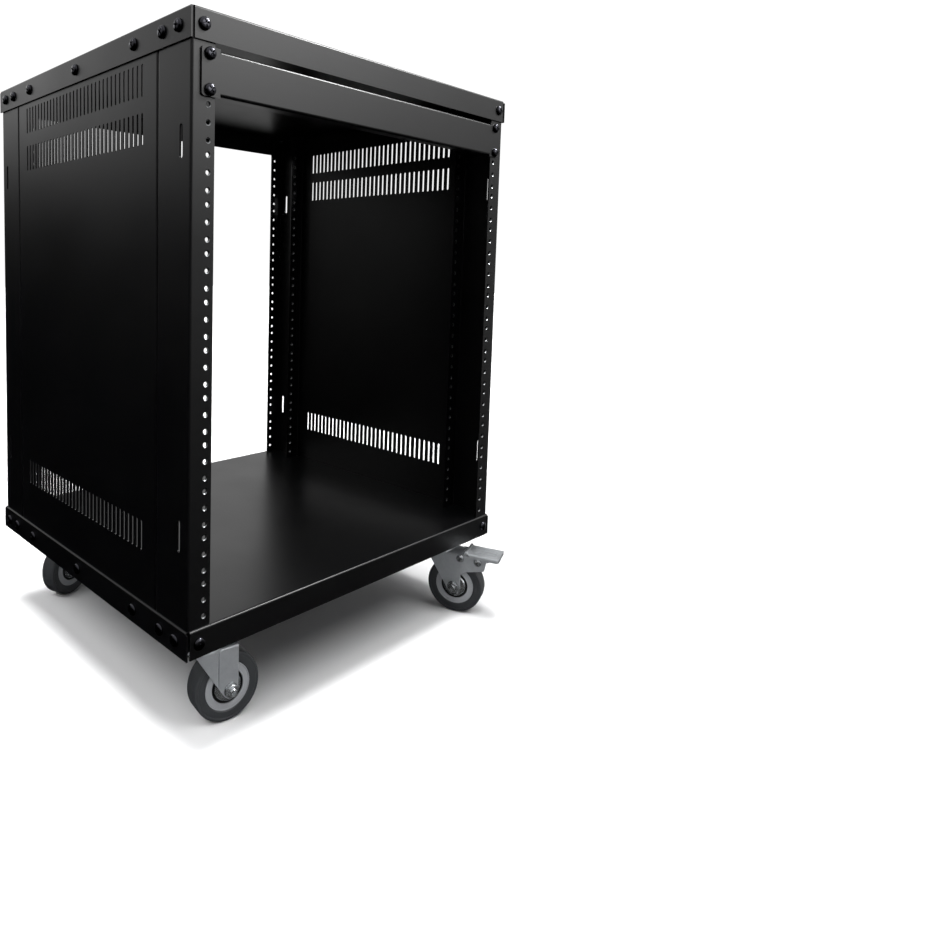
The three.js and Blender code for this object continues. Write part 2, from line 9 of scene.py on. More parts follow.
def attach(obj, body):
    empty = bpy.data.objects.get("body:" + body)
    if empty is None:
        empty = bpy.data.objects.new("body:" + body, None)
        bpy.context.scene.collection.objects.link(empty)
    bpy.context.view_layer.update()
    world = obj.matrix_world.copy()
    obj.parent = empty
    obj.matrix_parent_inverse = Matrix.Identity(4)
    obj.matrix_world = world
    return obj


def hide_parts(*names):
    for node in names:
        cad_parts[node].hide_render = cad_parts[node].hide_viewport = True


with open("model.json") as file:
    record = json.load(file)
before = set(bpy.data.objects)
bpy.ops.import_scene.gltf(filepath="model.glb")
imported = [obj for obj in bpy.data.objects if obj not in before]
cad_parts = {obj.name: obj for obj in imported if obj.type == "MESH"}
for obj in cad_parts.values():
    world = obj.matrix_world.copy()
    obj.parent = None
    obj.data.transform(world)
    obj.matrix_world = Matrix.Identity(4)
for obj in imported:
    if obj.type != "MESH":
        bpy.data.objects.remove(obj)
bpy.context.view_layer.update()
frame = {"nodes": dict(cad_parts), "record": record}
mm = 0.001
almostStraight, mostOfEdge = 0.02, 0.48  # a corner this flat stays, and a rounding takes that share of an edge
besideBend = 0.25  # flat sheet kept next to each bend, so that its shading stays crisp
mergeGap = 0.002  # points closer than this are one
print("frame loaded")


# drawing helpers: all pieces are drawn in millimetres and scaled once, when they become objects
def makeObject(name, points, faces, material, place=None, sharpAngle=32):
    mesh = bpy.data.meshes.new(name)
    mesh.from_pydata([tuple(p) for p in points], [], [tuple(f) for f in faces])
    return finishMesh(name, mesh, material, place, sharpAngle)


def finishMesh(name, mesh, material, place=None, sharpAngle=32):
    shape = bmesh.new()
    shape.from_mesh(mesh)
    bmesh.ops.remove_doubles(shape, verts=shape.verts, dist=mergeGap)
    bmesh.ops.dissolve_degenerate(shape, edges=shape.edges, dist=mergeGap)
    bmesh.ops.transform(shape, verts=shape.verts, matrix=Matrix.Scale(mm, 4) @ (place or Matrix.Identity(4)))
    bmesh.ops.recalc_face_normals(shape, faces=shape.faces)
    for face in shape.faces:
        face.smooth = True
    shape.to_mesh(mesh)
    shape.free()
    mesh.set_sharp_from_angle(angle=math.radians(sharpAngle))
    mesh.materials.clear()
    mesh.materials.append(material)
    thing = bpy.data.objects.new(name, mesh)
    bpy.context.scene.collection.objects.link(thing)
    return thing


def joinObjects(name, things):
    with bpy.context.temp_override(active_object=things[0], selected_editable_objects=things):
        bpy.ops.object.join()
    things[0].name = things[0].data.name = name
    return things[0]


# a polyline with its corners rounded: each point is two coordinates and the radius of its corner
def roundCorners(points, steps=4):
    rounded = []
    for i, (a, b, radius) in enumerate(points):
        here = np.array((a, b), float)
        if radius <= 0:
            rounded.append(tuple(here))
            continue
        back = np.array(points[i - 1][:2], float) - here
        on = np.array(points[(i + 1) % len(points)][:2], float) - here
        backLength, onLength = np.linalg.norm(back), np.linalg.norm(on)
        back, on = back / backLength, on / onLength
        angle = math.acos(np.clip(back @ on, -1, 1))
        if angle > math.pi - almostStraight:
            rounded.append(tuple(here))
            continue
        setback = min(radius / math.tan(angle / 2), mostOfEdge * backLength, mostOfEdge * onLength)
        radius = setback * math.tan(angle / 2)
        middle = back + on
        centre = here + middle / np.linalg.norm(middle) * radius / math.sin(angle / 2)
        start, end = here + back * setback - centre, here + on * setback - centre
        sweep = math.atan2(start[0] * end[1] - start[1] * end[0], start @ end)
        for k in range(steps + 1):
            turn = sweep * k / steps
            rounded.append((
                centre[0] + start[0] * math.cos(turn) - start[1] * math.sin(turn),
                centre[1] + start[0] * math.sin(turn) + start[1] * math.cos(turn),
            ))
    return rounded


# turned work: a profile of radius and height about the axis, closed on itself or ending on the axis
def lathe(name, profile, material, steps=64, axis="z", centre=(0, 0), place=None, sharpAngle=32):
    points, rings, faces = [], [], []
    for radius, height in profile:
        ring = []
        for k in range(1 if radius < 1e-6 else steps):
            turn = 2 * math.pi * k / steps
            a, b = radius * math.cos(turn), radius * math.sin(turn)
            ring.append(len(points))
            points.append((centre[0] + a, centre[1] + b, height) if axis == "z" else
                          (centre[0] + a, height, centre[1] + b))
        rings.append(ring)
    onAxis = len(rings[0]) == 1 and len(rings[-1]) == 1
    for low, high in zip(rings, rings[1:] + ([] if onAxis else rings[:1])):
        for k in range(steps):
            n = (k + 1) % steps
            corners = [low[k % len(low)], low[n % len(low)], high[n % len(high)], high[k % len(high)]]
            corners = [c for i, c in enumerate(corners) if c != corners[i - 1]]
            if len(corners) > 2:
                faces.append(corners)
    return makeObject(name, points, faces, material, place, sharpAngle)


# a strip folded from sheet, seen end on: legs are measured to the outside corners, turns are degrees to the left
def foldPath(legs, turns, bend, sheet, bendSteps=5):
    def along(angle):
        return np.array([math.cos(angle), math.sin(angle)])

    def leftOf(angle):
        return np.array([-math.sin(angle), math.cos(angle)])

    radii = [bend + sheet if turn > 0 else bend for turn in turns]
    setbacks = [r * math.tan(math.radians(abs(t)) / 2) for r, t in zip(radii, turns)]
    runs, cuts, distance, place, angle = [], [], 0.0, np.zeros(2), 0.0
    for i, leg in enumerate(legs):
        start = setbacks[i - 1] if i else 0
        straight = leg - start - (setbacks[i] if i < len(turns) else 0)
        runs.append({"from": distance, "length": straight, "place": place, "angle": angle, "radius": None,
                     "start": start})
        distance, place = distance + straight, place + along(angle) * straight
        if i < len(turns):
            sweep, sign = math.radians(abs(turns[i])), 1 if turns[i] > 0 else -1
            centre = place + sign * radii[i] * leftOf(angle)
            runs.append({"from": distance, "length": radii[i] * sweep, "centre": centre, "angle": angle,
                         "radius": radii[i], "sign": sign})
            cuts += [distance - besideBend, distance + radii[i] * sweep + besideBend]
            cuts += [distance + radii[i] * sweep * k / bendSteps for k in range(bendSteps + 1)]
            angle += sign * sweep
            distance, place = distance + radii[i] * sweep, centre - sign * radii[i] * leftOf(angle)

    def at(leg, offset):  # where a point of a leg lies on the flat strip
        run = runs[2 * leg]
        return run["from"] + offset - run["start"]

    def bent(s, depth):  # flat strip to folded one, depth to its left
        out = np.zeros((len(s), 2))
        for k, run in enumerate(runs):
            last = k == len(runs) - 1
            inside = (s >= run["from"] - (1e9 if k == 0 else 0)) & (last | (s < run["from"] + run["length"]))
            q, w = s[inside] - run["from"], depth[inside]
            if run["radius"] is None:
                out[inside] = run["place"] + np.outer(q, along(run["angle"])) + np.outer(w, leftOf(run["angle"]))
            else:
                turned = run["angle"] + run["sign"] * q / run["radius"]
                reach = run["sign"] * (run["radius"] - run["sign"] * w)
                out[inside] = run["centre"] - np.stack([-np.sin(turned), np.cos(turned)], 1) * reach[:, None]
        return out

    return {"at": at, "bent": bent, "cuts": cuts, "length": distance}


# Geometry Nodes: one small function adds a node with its settings and its links
def addNode(tree, kind, settings=None, values=None, links=None):
    node = tree.nodes.new(kind)
    for key, value in (settings or {}).items():
        setattr(node, key, value)
    for key, value in (values or {}).items():
        node.inputs[key].default_value = value
    for key, socket in (links or {}).items():
        tree.links.new(socket, node.inputs[key])
    return node


def newTree(name, inputs):
    tree = bpy.data.node_groups.new(name, "GeometryNodeTree")
    tree.interface.new_socket(name="Geometry", in_out="INPUT", socket_type="NodeSocketGeometry")
    for label, kind in inputs:
        tree.interface.new_socket(name=label, in_out="INPUT", socket_type="NodeSocket" + kind)
    tree.interface.new_socket(name="Geometry", in_out="OUTPUT", socket_type="NodeSocketGeometry")
    return tree, tree.nodes.new("NodeGroupInput").outputs, tree.nodes.new("NodeGroupOutput").inputs


def endTree(tree, geometry, given, result):
    real = addNode(tree, "GeometryNodeRealizeInstances", links={"Geometry": geometry})
    painted = addNode(tree, "GeometryNodeSetMaterial", links={
        "Geometry": real.outputs["Geometry"], "Material": given["Material"]})
    tree.links.new(painted.outputs["Geometry"], result["Geometry"])
    return tree


# runs a tree on a mesh and returns the plain mesh that comes out
def runTree(name, tree, points, edges, values, attributes=None):
    start = bpy.data.meshes.new(name)
    start.from_pydata([tuple(p) for p in points], edges, [])
    for label, vectors in (attributes or {}).items():
        start.attributes.new(label, "FLOAT_VECTOR", "POINT").data.foreach_set("vector", np.ravel(vectors))
    thing = bpy.data.objects.new(name, start)
    bpy.context.scene.collection.objects.link(thing)
    modifier = thing.modifiers.new(name, "NODES")
    modifier.node_group = tree
    sockets = {item.name: item.identifier for item in tree.interface.items_tree if item.in_out == "INPUT"}
    for label, value in values.items():
        modifier[sockets[label]] = value
    evaluated = thing.evaluated_get(bpy.context.evaluated_depsgraph_get())
    mesh = bpy.data.meshes.new_from_object(evaluated)
    bpy.data.objects.remove(thing)
    return mesh


# sheet with rows of holes: the outline is the mesh's edges, each pattern is a grid of round-cornered holes
holeInputs = {"columns": ("Int", 1), "rows": ("Int", 1), "spanAcross": ("Float", 0.0), "spanUp": ("Float", 0.0),
              "centre": ("Vector", (0, 0)), "width": ("Float", 0.0), "height": ("Float", 0.0),
              "corner": ("Float", 0.0)}


def sheetTree(patternNames):
    inputs = [("Sheet", "Float"), ("Material", "Material")]
    for label in patternNames:
        inputs += [(label + " " + word, kind) for word, (kind, usual) in holeInputs.items()]
    tree, given, result = newTree("perforated sheet", inputs)
    outlines = addNode(tree, "GeometryNodeJoinGeometry", links={"Geometry": given["Geometry"]})
    for label in patternNames:
        grid = addNode(tree, "GeometryNodeMeshGrid", links={
            "Size X": given[label + " spanAcross"], "Size Y": given[label + " spanUp"],
            "Vertices X": given[label + " columns"], "Vertices Y": given[label + " rows"]})
        moved = addNode(tree, "GeometryNodeTransform", links={
            "Geometry": grid.outputs["Mesh"], "Translation": given[label + " centre"]})
        hole = addNode(tree, "GeometryNodeCurvePrimitiveQuadrilateral", links={
            "Width": given[label + " width"], "Height": given[label + " height"]})
        soft = addNode(tree, "GeometryNodeFilletCurve", {"mode": "POLY"}, {"Count": 4, "Limit Radius": True},
                       {"Curve": hole.outputs["Curve"], "Radius": given[label + " corner"]})
        edge = addNode(tree, "GeometryNodeCurveToMesh", links={"Curve": soft.outputs["Curve"]})
        holes = addNode(tree, "GeometryNodeInstanceOnPoints", links={
            "Points": moved.outputs["Geometry"], "Instance": edge.outputs["Mesh"]})
        real = addNode(tree, "GeometryNodeRealizeInstances", links={"Geometry": holes.outputs["Instances"]})
        tree.links.new(real.outputs["Geometry"], outlines.inputs["Geometry"])
    curves = addNode(tree, "GeometryNodeMeshToCurve", links={"Mesh": outlines.outputs["Geometry"]})
    face = addNode(tree, "GeometryNodeFillCurve", {"mode": "TRIANGLES"}, links={"Curve": curves.outputs["Curve"]})
    up = addNode(tree, "ShaderNodeCombineXYZ", links={"Z": given["Sheet"]})
    wall = addNode(tree, "GeometryNodeExtrudeMesh", {"mode": "FACES"}, {"Individual": False}, {
        "Mesh": face.outputs["Mesh"], "Offset": up.outputs["Vector"]})
    back = addNode(tree, "GeometryNodeFlipFaces", links={"Mesh": face.outputs["Mesh"]})
    both = addNode(tree, "GeometryNodeJoinGeometry", links={"Geometry": wall.outputs["Mesh"]})
    tree.links.new(back.outputs["Mesh"], both.inputs["Geometry"])
    closed = addNode(tree, "GeometryNodeMergeByDistance", values={"Distance": mergeGap},
                     links={"Geometry": both.outputs["Geometry"]})
    return endTree(tree, closed.outputs["Geometry"], given, result)


def cutSheet(name, outline, sheet, patterns, material):
    values = {"Sheet": sheet, "Material": material}
    for label, pattern in patterns.items():
        for word, (kind, usual) in holeInputs.items():
            value = pattern.get(word, usual)
            values[label + " " + word] = (*value, 0.0) if kind == "Vector" else value
    edges = [(i, (i + 1) % len(outline)) for i in range(len(outline))]
    points = [(a, b, 0) for a, b in outline]
    return runTree(name, sheetTree(list(patterns)), points, edges, values)


# cuts the flat sheet along its bends and folds it: fold takes arrays of across, along and depth
def foldSheet(mesh, cutsAcross, cutsAlong, fold):
    shape = bmesh.new()
    shape.from_mesh(mesh)
    for axis, cuts in ((0, cutsAcross), (1, cutsAlong)):
        normal = Vector((1, 0, 0)) if axis == 0 else Vector((0, 1, 0))
        for cut in cuts:
            parts = list(shape.verts) + list(shape.edges) + list(shape.faces)
            bmesh.ops.bisect_plane(shape, geom=parts, dist=0.0005, plane_co=normal * cut, plane_no=normal)
    flat = np.array([vert.co[:] for vert in shape.verts])
    for vert, place in zip(shape.verts, fold(flat[:, 0], flat[:, 1], flat[:, 2])):
        vert.co = place
    shape.to_mesh(mesh)
    shape.free()
    return mesh


def foldPiece(name, outline, sheet, patterns, material, cutsAcross, cutsAlong, fold, place=None):
    flat = cutSheet(name, outline, sheet, patterns, material)
    return finishMesh(name, foldSheet(flat, cutsAcross, cutsAlong, fold), material, place)


# a piece at many places: each point carries the way its piece faces
def scatterTree():
    tree, given, result = newTree("fasteners", [("Piece", "Object"), ("Seed", "Int"), ("Material", "Material")])
    facing = addNode(tree, "GeometryNodeInputNamedAttribute", {"data_type": "FLOAT_VECTOR"}, {"Name": "facing"})
    stood = addNode(tree, "FunctionNodeAlignRotationToVector", {"axis": "Z"},
                    links={"Vector": facing.outputs["Attribute"]})
    chance = addNode(tree, "FunctionNodeRandomValue", {"data_type": "FLOAT"}, links={"Seed": given["Seed"]})
    chance.inputs[3].default_value = 2 * math.pi
    spin = addNode(tree, "FunctionNodeAxisAngleToRotation", links={"Angle": chance.outputs[1]})
    turned = addNode(tree, "FunctionNodeRotateRotation", {"rotation_space": "LOCAL"}, links={
        "Rotation": stood.outputs["Rotation"], "Rotate By": spin.outputs["Rotation"]})
    piece = addNode(tree, "GeometryNodeObjectInfo", links={"Object": given["Piece"]})
    copies = addNode(tree, "GeometryNodeInstanceOnPoints", links={
        "Points": given["Geometry"], "Instance": piece.outputs["Geometry"], "Rotation": turned.outputs["Rotation"]})
    return endTree(tree, copies.outputs["Instances"], given, result)


def scatter(name, piece, places, material, seed):
    points = [place for place, facing in places]
    facings = [facing for place, facing in places]
    values = {"Piece": piece, "Seed": seed, "Material": material}
    mesh = runTree(name, scatterTree(), np.array(points) * mm, [], values, {"facing": facings})
    mesh.transform(Matrix.Scale(1 / mm, 4))
    return finishMesh(name, mesh, material)


# materials
def fromHex(code):
    channels = [int(code[i:i + 2], 16) / 255 for i in (1, 3, 5)]
    return (*[c / 12.92 if c <= 0.04045 else ((c + 0.055) / 1.055) ** 2.4 for c in channels], 1)


def makeSurface(name, colours, roughness, metallic, grain, drift, dents):
    material = bpy.data.materials.new(name)
    material.use_nodes = True
    tree = material.node_tree
    shader = tree.nodes["Principled BSDF"]
    shader.inputs["Metallic"].default_value = metallic
    where = addNode(tree, "ShaderNodeTexCoord").outputs["Object"]
    broad = addNode(tree, "ShaderNodeTexNoise", values={"Scale": 1 / (drift * mm), "Detail": 3, "Roughness": 0.6},
                    links={"Vector": where})
    fine = addNode(tree, "ShaderNodeTexNoise", values={"Scale": 1 / (grain * mm), "Detail": 2},
                   links={"Vector": where})
    colour = addNode(tree, "ShaderNodeMix", {"data_type": "RGBA"}, links={0: broad.outputs["Fac"]})
    colour.inputs[6].default_value, colour.inputs[7].default_value = fromHex(colours[0]), fromHex(colours[1])
    gloss = addNode(tree, "ShaderNodeMapRange", values={
        "From Min": 0.3, "From Max": 0.7, "To Min": roughness[0], "To Max": roughness[1]},
        links={"Value": broad.outputs["Fac"]})
    bump = addNode(tree, "ShaderNodeBump", values={"Strength": 0.5, "Distance": dents * mm},
                   links={"Height": fine.outputs["Fac"]})
    tree.links.new(colour.outputs[2], shader.inputs["Base Color"])
    tree.links.new(gloss.outputs["Result"], shader.inputs["Roughness"])
    tree.links.new(bump.outputs["Normal"], shader.inputs["Normal"])
    return material


# black polyester powder coat on steel: almost no colour of its own, a soft even sheen with a fine orange peel
blackPaint = makeSurface("black powder coat", ("#020203", "#040405"), (0.28, 0.34), 0, 1.4, 160, 0.012)
# the same coat on the cover and the blank panel, one step lighter: painted light, for the front light these faces
# catch
litCoverPaint = makeSurface("black powder coat cover", ("#030304", "#050506"), (0.28, 0.34), 0, 1.4, 160, 0.012)
# black oxide on steel screws: dark metal with an oily gleam
blackOxide = makeSurface("black oxide steel", ("#3a3a3e", "#4a4a50"), (0.13, 0.2), 1, 1.0, 12, 0.01)
# bright zinc on pressed steel: pale grey, lightly mottled, a satin shine
brightZinc = makeSurface("bright zinc plate", ("#96999c", "#aeb1b4"), (0.28, 0.4), 0.55, 2.2, 7, 0.008)
# the same zinc on turned and headed parts: smoother, so it mirrors more
zincHardware = makeSurface("bright zinc fasteners", ("#b9bcbf", "#d6d9db"), (0.14, 0.26), 0.9, 1.6, 4, 0.006)
# grey thermoplastic rubber tyre: matt with a faint skin
greyRubber = makeSurface("grey rubber", ("#26282a", "#323437"), (0.42, 0.55), 0, 0.7, 14, 0.01)
# grey moulded polypropylene wheel centre: even, a little waxy
greyPlastic = makeSurface("grey polypropylene", ("#7c7e81", "#8b8d90"), (0.36, 0.46), 0, 0.8, 20, 0.01)
# moulded rubber dust seal, black and dull
blackSeal = makeSurface("black rubber seal", ("#0a0a0b", "#111112"), (0.6, 0.7), 0, 0.8, 10, 0.01)
# ball bearing steel under grease: dark and shiny
bearingSteel = makeSurface("greased bearing steel", ("#3a3a3c", "#525256"), (0.2, 0.35), 1, 0.8, 5, 0.01)
# thread cut after painting, so the steel is bare in the holes
bareSteel = makeSurface("bare tapped steel", ("#8e9092", "#a8aaac"), (0.25, 0.4), 1, 0.5, 3, 0.02)
slotMaterials = {"black_paint": blackPaint, "cover_paint": litCoverPaint, "black_steel": blackOxide,
                 "zinc_plate": brightZinc, "bearing_steel": bearingSteel, "grey_rubber": greyRubber,
                 "wheel_plastic": greyPlastic}
for part in frame["record"]["subparts"]:
    mesh = frame["nodes"][part["node"]].data
    for i in range(len(mesh.materials)):
        mesh.materials[i] = slotMaterials[part["material_slot"]]
print("materials made")


# sheet metal of the case
case = {"halfWidth": 251.0, "halfDepth": 225.0, "foot": 132.05, "top": 699.6, "unitsBottom": 136.0, "unit": 44.45,
        "units": 12, "holeColumn": 232.55}
unitsTop = case["unitsBottom"] + case["units"] * case["unit"]
tray = {"sheet": 1.5, "bend": 0.5, "halfX": 253.0, "halfY": 227.0, "lip": 28.0, "slit": 2.0, "coverTop": 701.4,
        "baseTop": 132.0, "lipGap": 0.4}


def makeTray(name, top):
    pathX = foldPath([tray["lip"], 2 * tray["halfX"], tray["lip"]], [90, 90], tray["bend"], tray["sheet"])
    pathY = foldPath([tray["lip"], 2 * tray["halfY"], tray["lip"]], [90, 90], tray["bend"], tray["sheet"])
    reach = tray["bend"] + tray["sheet"]
    uA, uB = pathX["at"](0, tray["lip"] - reach), pathX["at"](1, reach)
    uC, uD = pathX["at"](1, 2 * tray["halfX"] - reach), pathX["at"](2, reach)
    vB, vC = pathY["at"](1, reach), pathY["at"](1, 2 * tray["halfY"] - reach)
    endX, endY = pathX["length"], pathY["length"]
    # the side lips run on past the bend to the tray's ends, the front and rear lips stay between them
    lipA, lipD = uA - tray["lipGap"], uD + tray["lipGap"]
    slitA, slitD = uB + tray["slit"], uC - tray["slit"]
    outline = [(0, vB - reach), (lipA, vB - reach), (lipA, vB), (slitA, vB), (slitA, 0), (slitD, 0), (slitD, vB),
               (lipD, vB), (lipD, vB - reach), (endX, vB - reach), (endX, vC + reach), (lipD, vC + reach), (lipD, vC),
               (slitD, vC), (slitD, endY), (slitA, endY), (slitA, vC), (lipA, vC), (lipA, vC + reach),
               (0, vC + reach)]

    def fold(u, v, depth):
        across, along = pathX["bent"](u, depth), pathY["bent"](v, depth)
        lip = (u < uA - tray["lipGap"] / 2) | (u > uD + tray["lipGap"] / 2)
        y = np.where(lip, v - vB + reach, along[:, 1]) - tray["halfY"]
        down = np.where(lip, tray["lip"] - depth, along[:, 0])
        return np.stack([across[:, 1] - tray["halfX"], y,
                         top - 2 * tray["lip"] + across[:, 0] + down + depth], 1)

    return foldPiece(name, outline, tray["sheet"], {}, litCoverPaint, pathX["cuts"], pathY["cuts"], fold)


rackHole = {"across": 5.8, "corner": 2.89, "rises": {"low": 6.35, "middle": 22.225, "high": 38.1}}
postSheet = {"sheet": 1.8, "bend": 0.8, "width": 25.6, "depth": 56.0, "tabInset": 7.0, "tabFoot": 112.0,
             "tabCorner": 2, "corner": 1.5, "slotInset": 16.0, "slotFromEnd": 83.4, "slotWidth": 5.0,
             "slotHeight": 31.0, "slotCorner": 2.4}


def makePost(name, side, end):
    depth, width = postSheet["depth"], postSheet["width"]
    path = foldPath([width, depth, width], [90, 90], postSheet["bend"], postSheet["sheet"])
    tabA, tabB = path["at"](1, postSheet["tabInset"]), path["at"](1, depth - postSheet["tabInset"])
    foot, top, unit = case["foot"], case["top"], case["unit"]
    corner, tabCorner = postSheet["corner"], postSheet["tabCorner"]
    tabFoot, edge = postSheet["tabFoot"], path["length"]
    outline = roundCorners([(0, foot, corner), (tabA, foot, 0), (tabA, tabFoot, tabCorner),
                            (tabB, tabFoot, tabCorner), (tabB, foot, 0), (edge, foot, corner), (edge, top, corner),
                            (0, top, corner)], 3)
    column = width - (case["halfWidth"] - case["holeColumn"])
    patterns = {}
    span = (case["units"] - 1) * unit
    for flange, across in (("outer flange", path["at"](0, column)), ("return flange", path["at"](2, width - column))):
        for label, rise in rackHole["rises"].items():
            patterns[flange + " " + label] = {
                "centre": (across, case["unitsBottom"] + span / 2 + rise), "spanUp": span, "rows": case["units"],
                "width": rackHole["across"], "height": rackHole["across"], "corner": rackHole["corner"]}
    middle = (case["unitsBottom"] + unitsTop) / 2
    patterns["web slots"] = {"centre": (path["at"](1, postSheet["slotInset"]), middle), "rows": 2,
                             "spanUp": unitsTop - case["unitsBottom"] - 2 * postSheet["slotFromEnd"],
                             "width": postSheet["slotWidth"], "height": postSheet["slotHeight"],
                             "corner": postSheet["slotCorner"]}

    def fold(u, v, deep):
        plan = path["bent"](u, deep)
        return np.stack([side * (case["halfWidth"] - width + plan[:, 0]),
                         end * (case["halfDepth"] - plan[:, 1]), v], 1)

    return foldPiece(name, outline, postSheet["sheet"], patterns, blackPaint, path["cuts"], [], fold)


sidePanel = {"sheet": 1.2, "bend": 1.0, "edge": 12.0, "half": 168.5, "corner": 1.5, "tabWidth": 22.0,
             "tabSpacing": 128.0, "tabFoot": 112.0, "tabCorner": 2, "vents": 33, "pitch": 8.8, "ventWidth": 3.2,
             "ventHeight": 31.0, "ventCorner": 1.5, "rows": (651.4, 605.0, 200.4)}


def makeSidePanel(name, side):
    path = foldPath([sidePanel["edge"], 2 * sidePanel["half"], sidePanel["edge"]], [90, 90], sidePanel["bend"],
                    sidePanel["sheet"])
    foot, top = case["foot"], case["top"]
    corner, tabCorner = sidePanel["corner"], sidePanel["tabCorner"]
    tabFoot, edge = sidePanel["tabFoot"], path["length"]
    outline = [(0, foot, corner)]
    for tab in (-1, 0, 1):
        middle = path["at"](1, sidePanel["half"] + tab * sidePanel["tabSpacing"])
        a, b = middle - sidePanel["tabWidth"] / 2, middle + sidePanel["tabWidth"] / 2
        outline += [(a, foot, 0), (a, tabFoot, tabCorner), (b, tabFoot, tabCorner), (b, foot, 0)]
    outline = roundCorners(outline + [(edge, foot, corner), (edge, top, corner), (0, top, corner)], 3)
    high, second, low = sidePanel["rows"]
    span, centre = (sidePanel["vents"] - 1) * sidePanel["pitch"], path["at"](1, sidePanel["half"])
    vent = {"spanAcross": span, "columns": sidePanel["vents"], "width": sidePanel["ventWidth"],
            "height": sidePanel["ventHeight"], "corner": sidePanel["ventCorner"]}
    patterns = {"upper vents": {**vent, "centre": (centre, (high + second) / 2), "rows": 2, "spanUp": high - second},
                "lower vents": {**vent, "centre": (centre, low)}}

    def fold(u, v, deep):
        plan = path["bent"](u, deep)
        return np.stack([side * (case["halfWidth"] - sidePanel["edge"] + plan[:, 0]),
                         plan[:, 1] - sidePanel["half"], v], 1)

    return foldPiece(name, outline, sidePanel["sheet"], patterns, blackPaint, path["cuts"], [], fold)


blank = {"sheet": 1.6, "bend": 1.0, "front": -226.9, "lip": 12.0, "centre": 647.175, "middleHalf": 20.15,
         "earHalf": 21.85, "earInner": 220.3, "earCorner": 3, "relief": 0.5, "halfWidth": 241.3, "screwRise": 15.875,
         "holeWidth": 9.0, "holeHeight": 6.9, "holeCorner": 3.4}


def makeBlankPanel(name):
    lip = blank["lip"] + blank["sheet"]
    path = foldPath([lip, 2 * blank["middleHalf"], lip], [90, 90], blank["bend"], blank["sheet"])
    reach = blank["bend"] + blank["sheet"]
    vB, vC = path["at"](1, reach), path["at"](1, 2 * blank["middleHalf"] - reach)
    middle, ear, inner = (vB + vC) / 2, blank["earHalf"], blank["earInner"]
    outer, relief = blank["halfWidth"], inner + blank["relief"]
    outline = [(-inner, 0), (inner, 0), (inner, vB), (relief, vB), (relief, middle - ear), (outer, middle - ear),
               (outer, middle + ear), (relief, middle + ear), (relief, vC), (inner, vC), (inner, path["length"]),
               (-inner, path["length"]), (-inner, vC), (-relief, vC), (-relief, middle + ear),
               (-outer, middle + ear), (-outer, middle - ear), (-relief, middle - ear), (-relief, vB), (-inner, vB)]
    outline = roundCorners([(u, v, blank["earCorner"] if abs(u) == outer else 0) for u, v in outline])
    hole = {"width": blank["holeWidth"], "height": blank["holeHeight"], "corner": blank["holeCorner"], "rows": 2,
            "spanUp": 2 * blank["screwRise"]}
    patterns = {"left holes": {**hole, "centre": (-case["holeColumn"], middle)},
                "right holes": {**hole, "centre": (case["holeColumn"], middle)}}

    def fold(u, v, deep):
        side = path["bent"](v, deep)
        isEar = np.abs(u) > (inner + relief) / 2
        y = np.where(isEar, blank["front"] + deep, blank["front"] + lip - side[:, 0])
        z = np.where(isEar, v - middle, side[:, 1] - blank["middleHalf"])
        return np.stack([u, y, blank["centre"] + z], 1)

    return foldPiece(name, outline, blank["sheet"], patterns, litCoverPaint, [], path["cuts"], fold)


channel = {"sheet": 2.0, "bend": 1.5, "brim": 10.0, "top": 130.2, "bottom": 104.3, "half": 33.0, "reach": 248.5,
           "swivelY": 181.0}


def makeChannel(name, end):
    web = channel["top"] - channel["bottom"]
    path = foldPath([channel["brim"] + channel["sheet"], web, 2 * channel["half"], web,
                     channel["brim"] + channel["sheet"]], [-90, 90, 90, -90], channel["bend"], channel["sheet"])
    outline = [(0, -channel["reach"]), (path["length"], -channel["reach"]), (path["length"], channel["reach"]),
               (0, channel["reach"])]
    fullHalf = channel["half"] + channel["brim"]

    def fold(u, v, deep):
        section = path["bent"](u, deep)
        y = end * channel["swivelY"] - fullHalf - channel["sheet"] + section[:, 0]
        return np.stack([v, y, channel["top"] + section[:, 1] - channel["sheet"]], 1)

    return foldPiece(name, outline, channel["sheet"], {}, blackPaint, path["cuts"], [], fold)


def mount(piece, body, *nodes):
    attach(piece, body)
    if nodes:
        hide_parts(*nodes)


mount(makeTray("coverSheet", tray["coverTop"]), "case", "top_cover")
mount(makeTray("baseSheet", tray["baseTop"]), "case", "base_tray")
for endName, end in (("front", -1), ("rear", 1)):
    for sideName, side in (("left", -1), ("right", 1)):
        post = makePost(endName + "." + sideName + ".postSheet", side, end)
        mount(post, "case", endName + "_" + sideName + "_post")
    mount(makeChannel(endName + ".channelSheet", end), "case", endName + "_caster_channel")
for sideName, side in (("left", -1), ("right", 1)):
    mount(makeSidePanel(sideName + ".sidePanelSheet", side), "case", sideName + "_side_panel")
mount(makeBlankPanel("blankPanelSheet"), "case", "blank_panel")
print("sheet metal made")


# fasteners: a pan head with a cross recess, its sizes as shares of the head's
panShape = {"arm": 0.27, "halfSlot": 0.062, "recess": 0.45, "point": 0.4, "taper": 0.8, "neck": 0.94, "sunk": 0.1,
            "dome": [(1, 0.12), (1, 0.42), (0.93, 0.68), (0.78, 0.87), (0.58, 0.97)]}


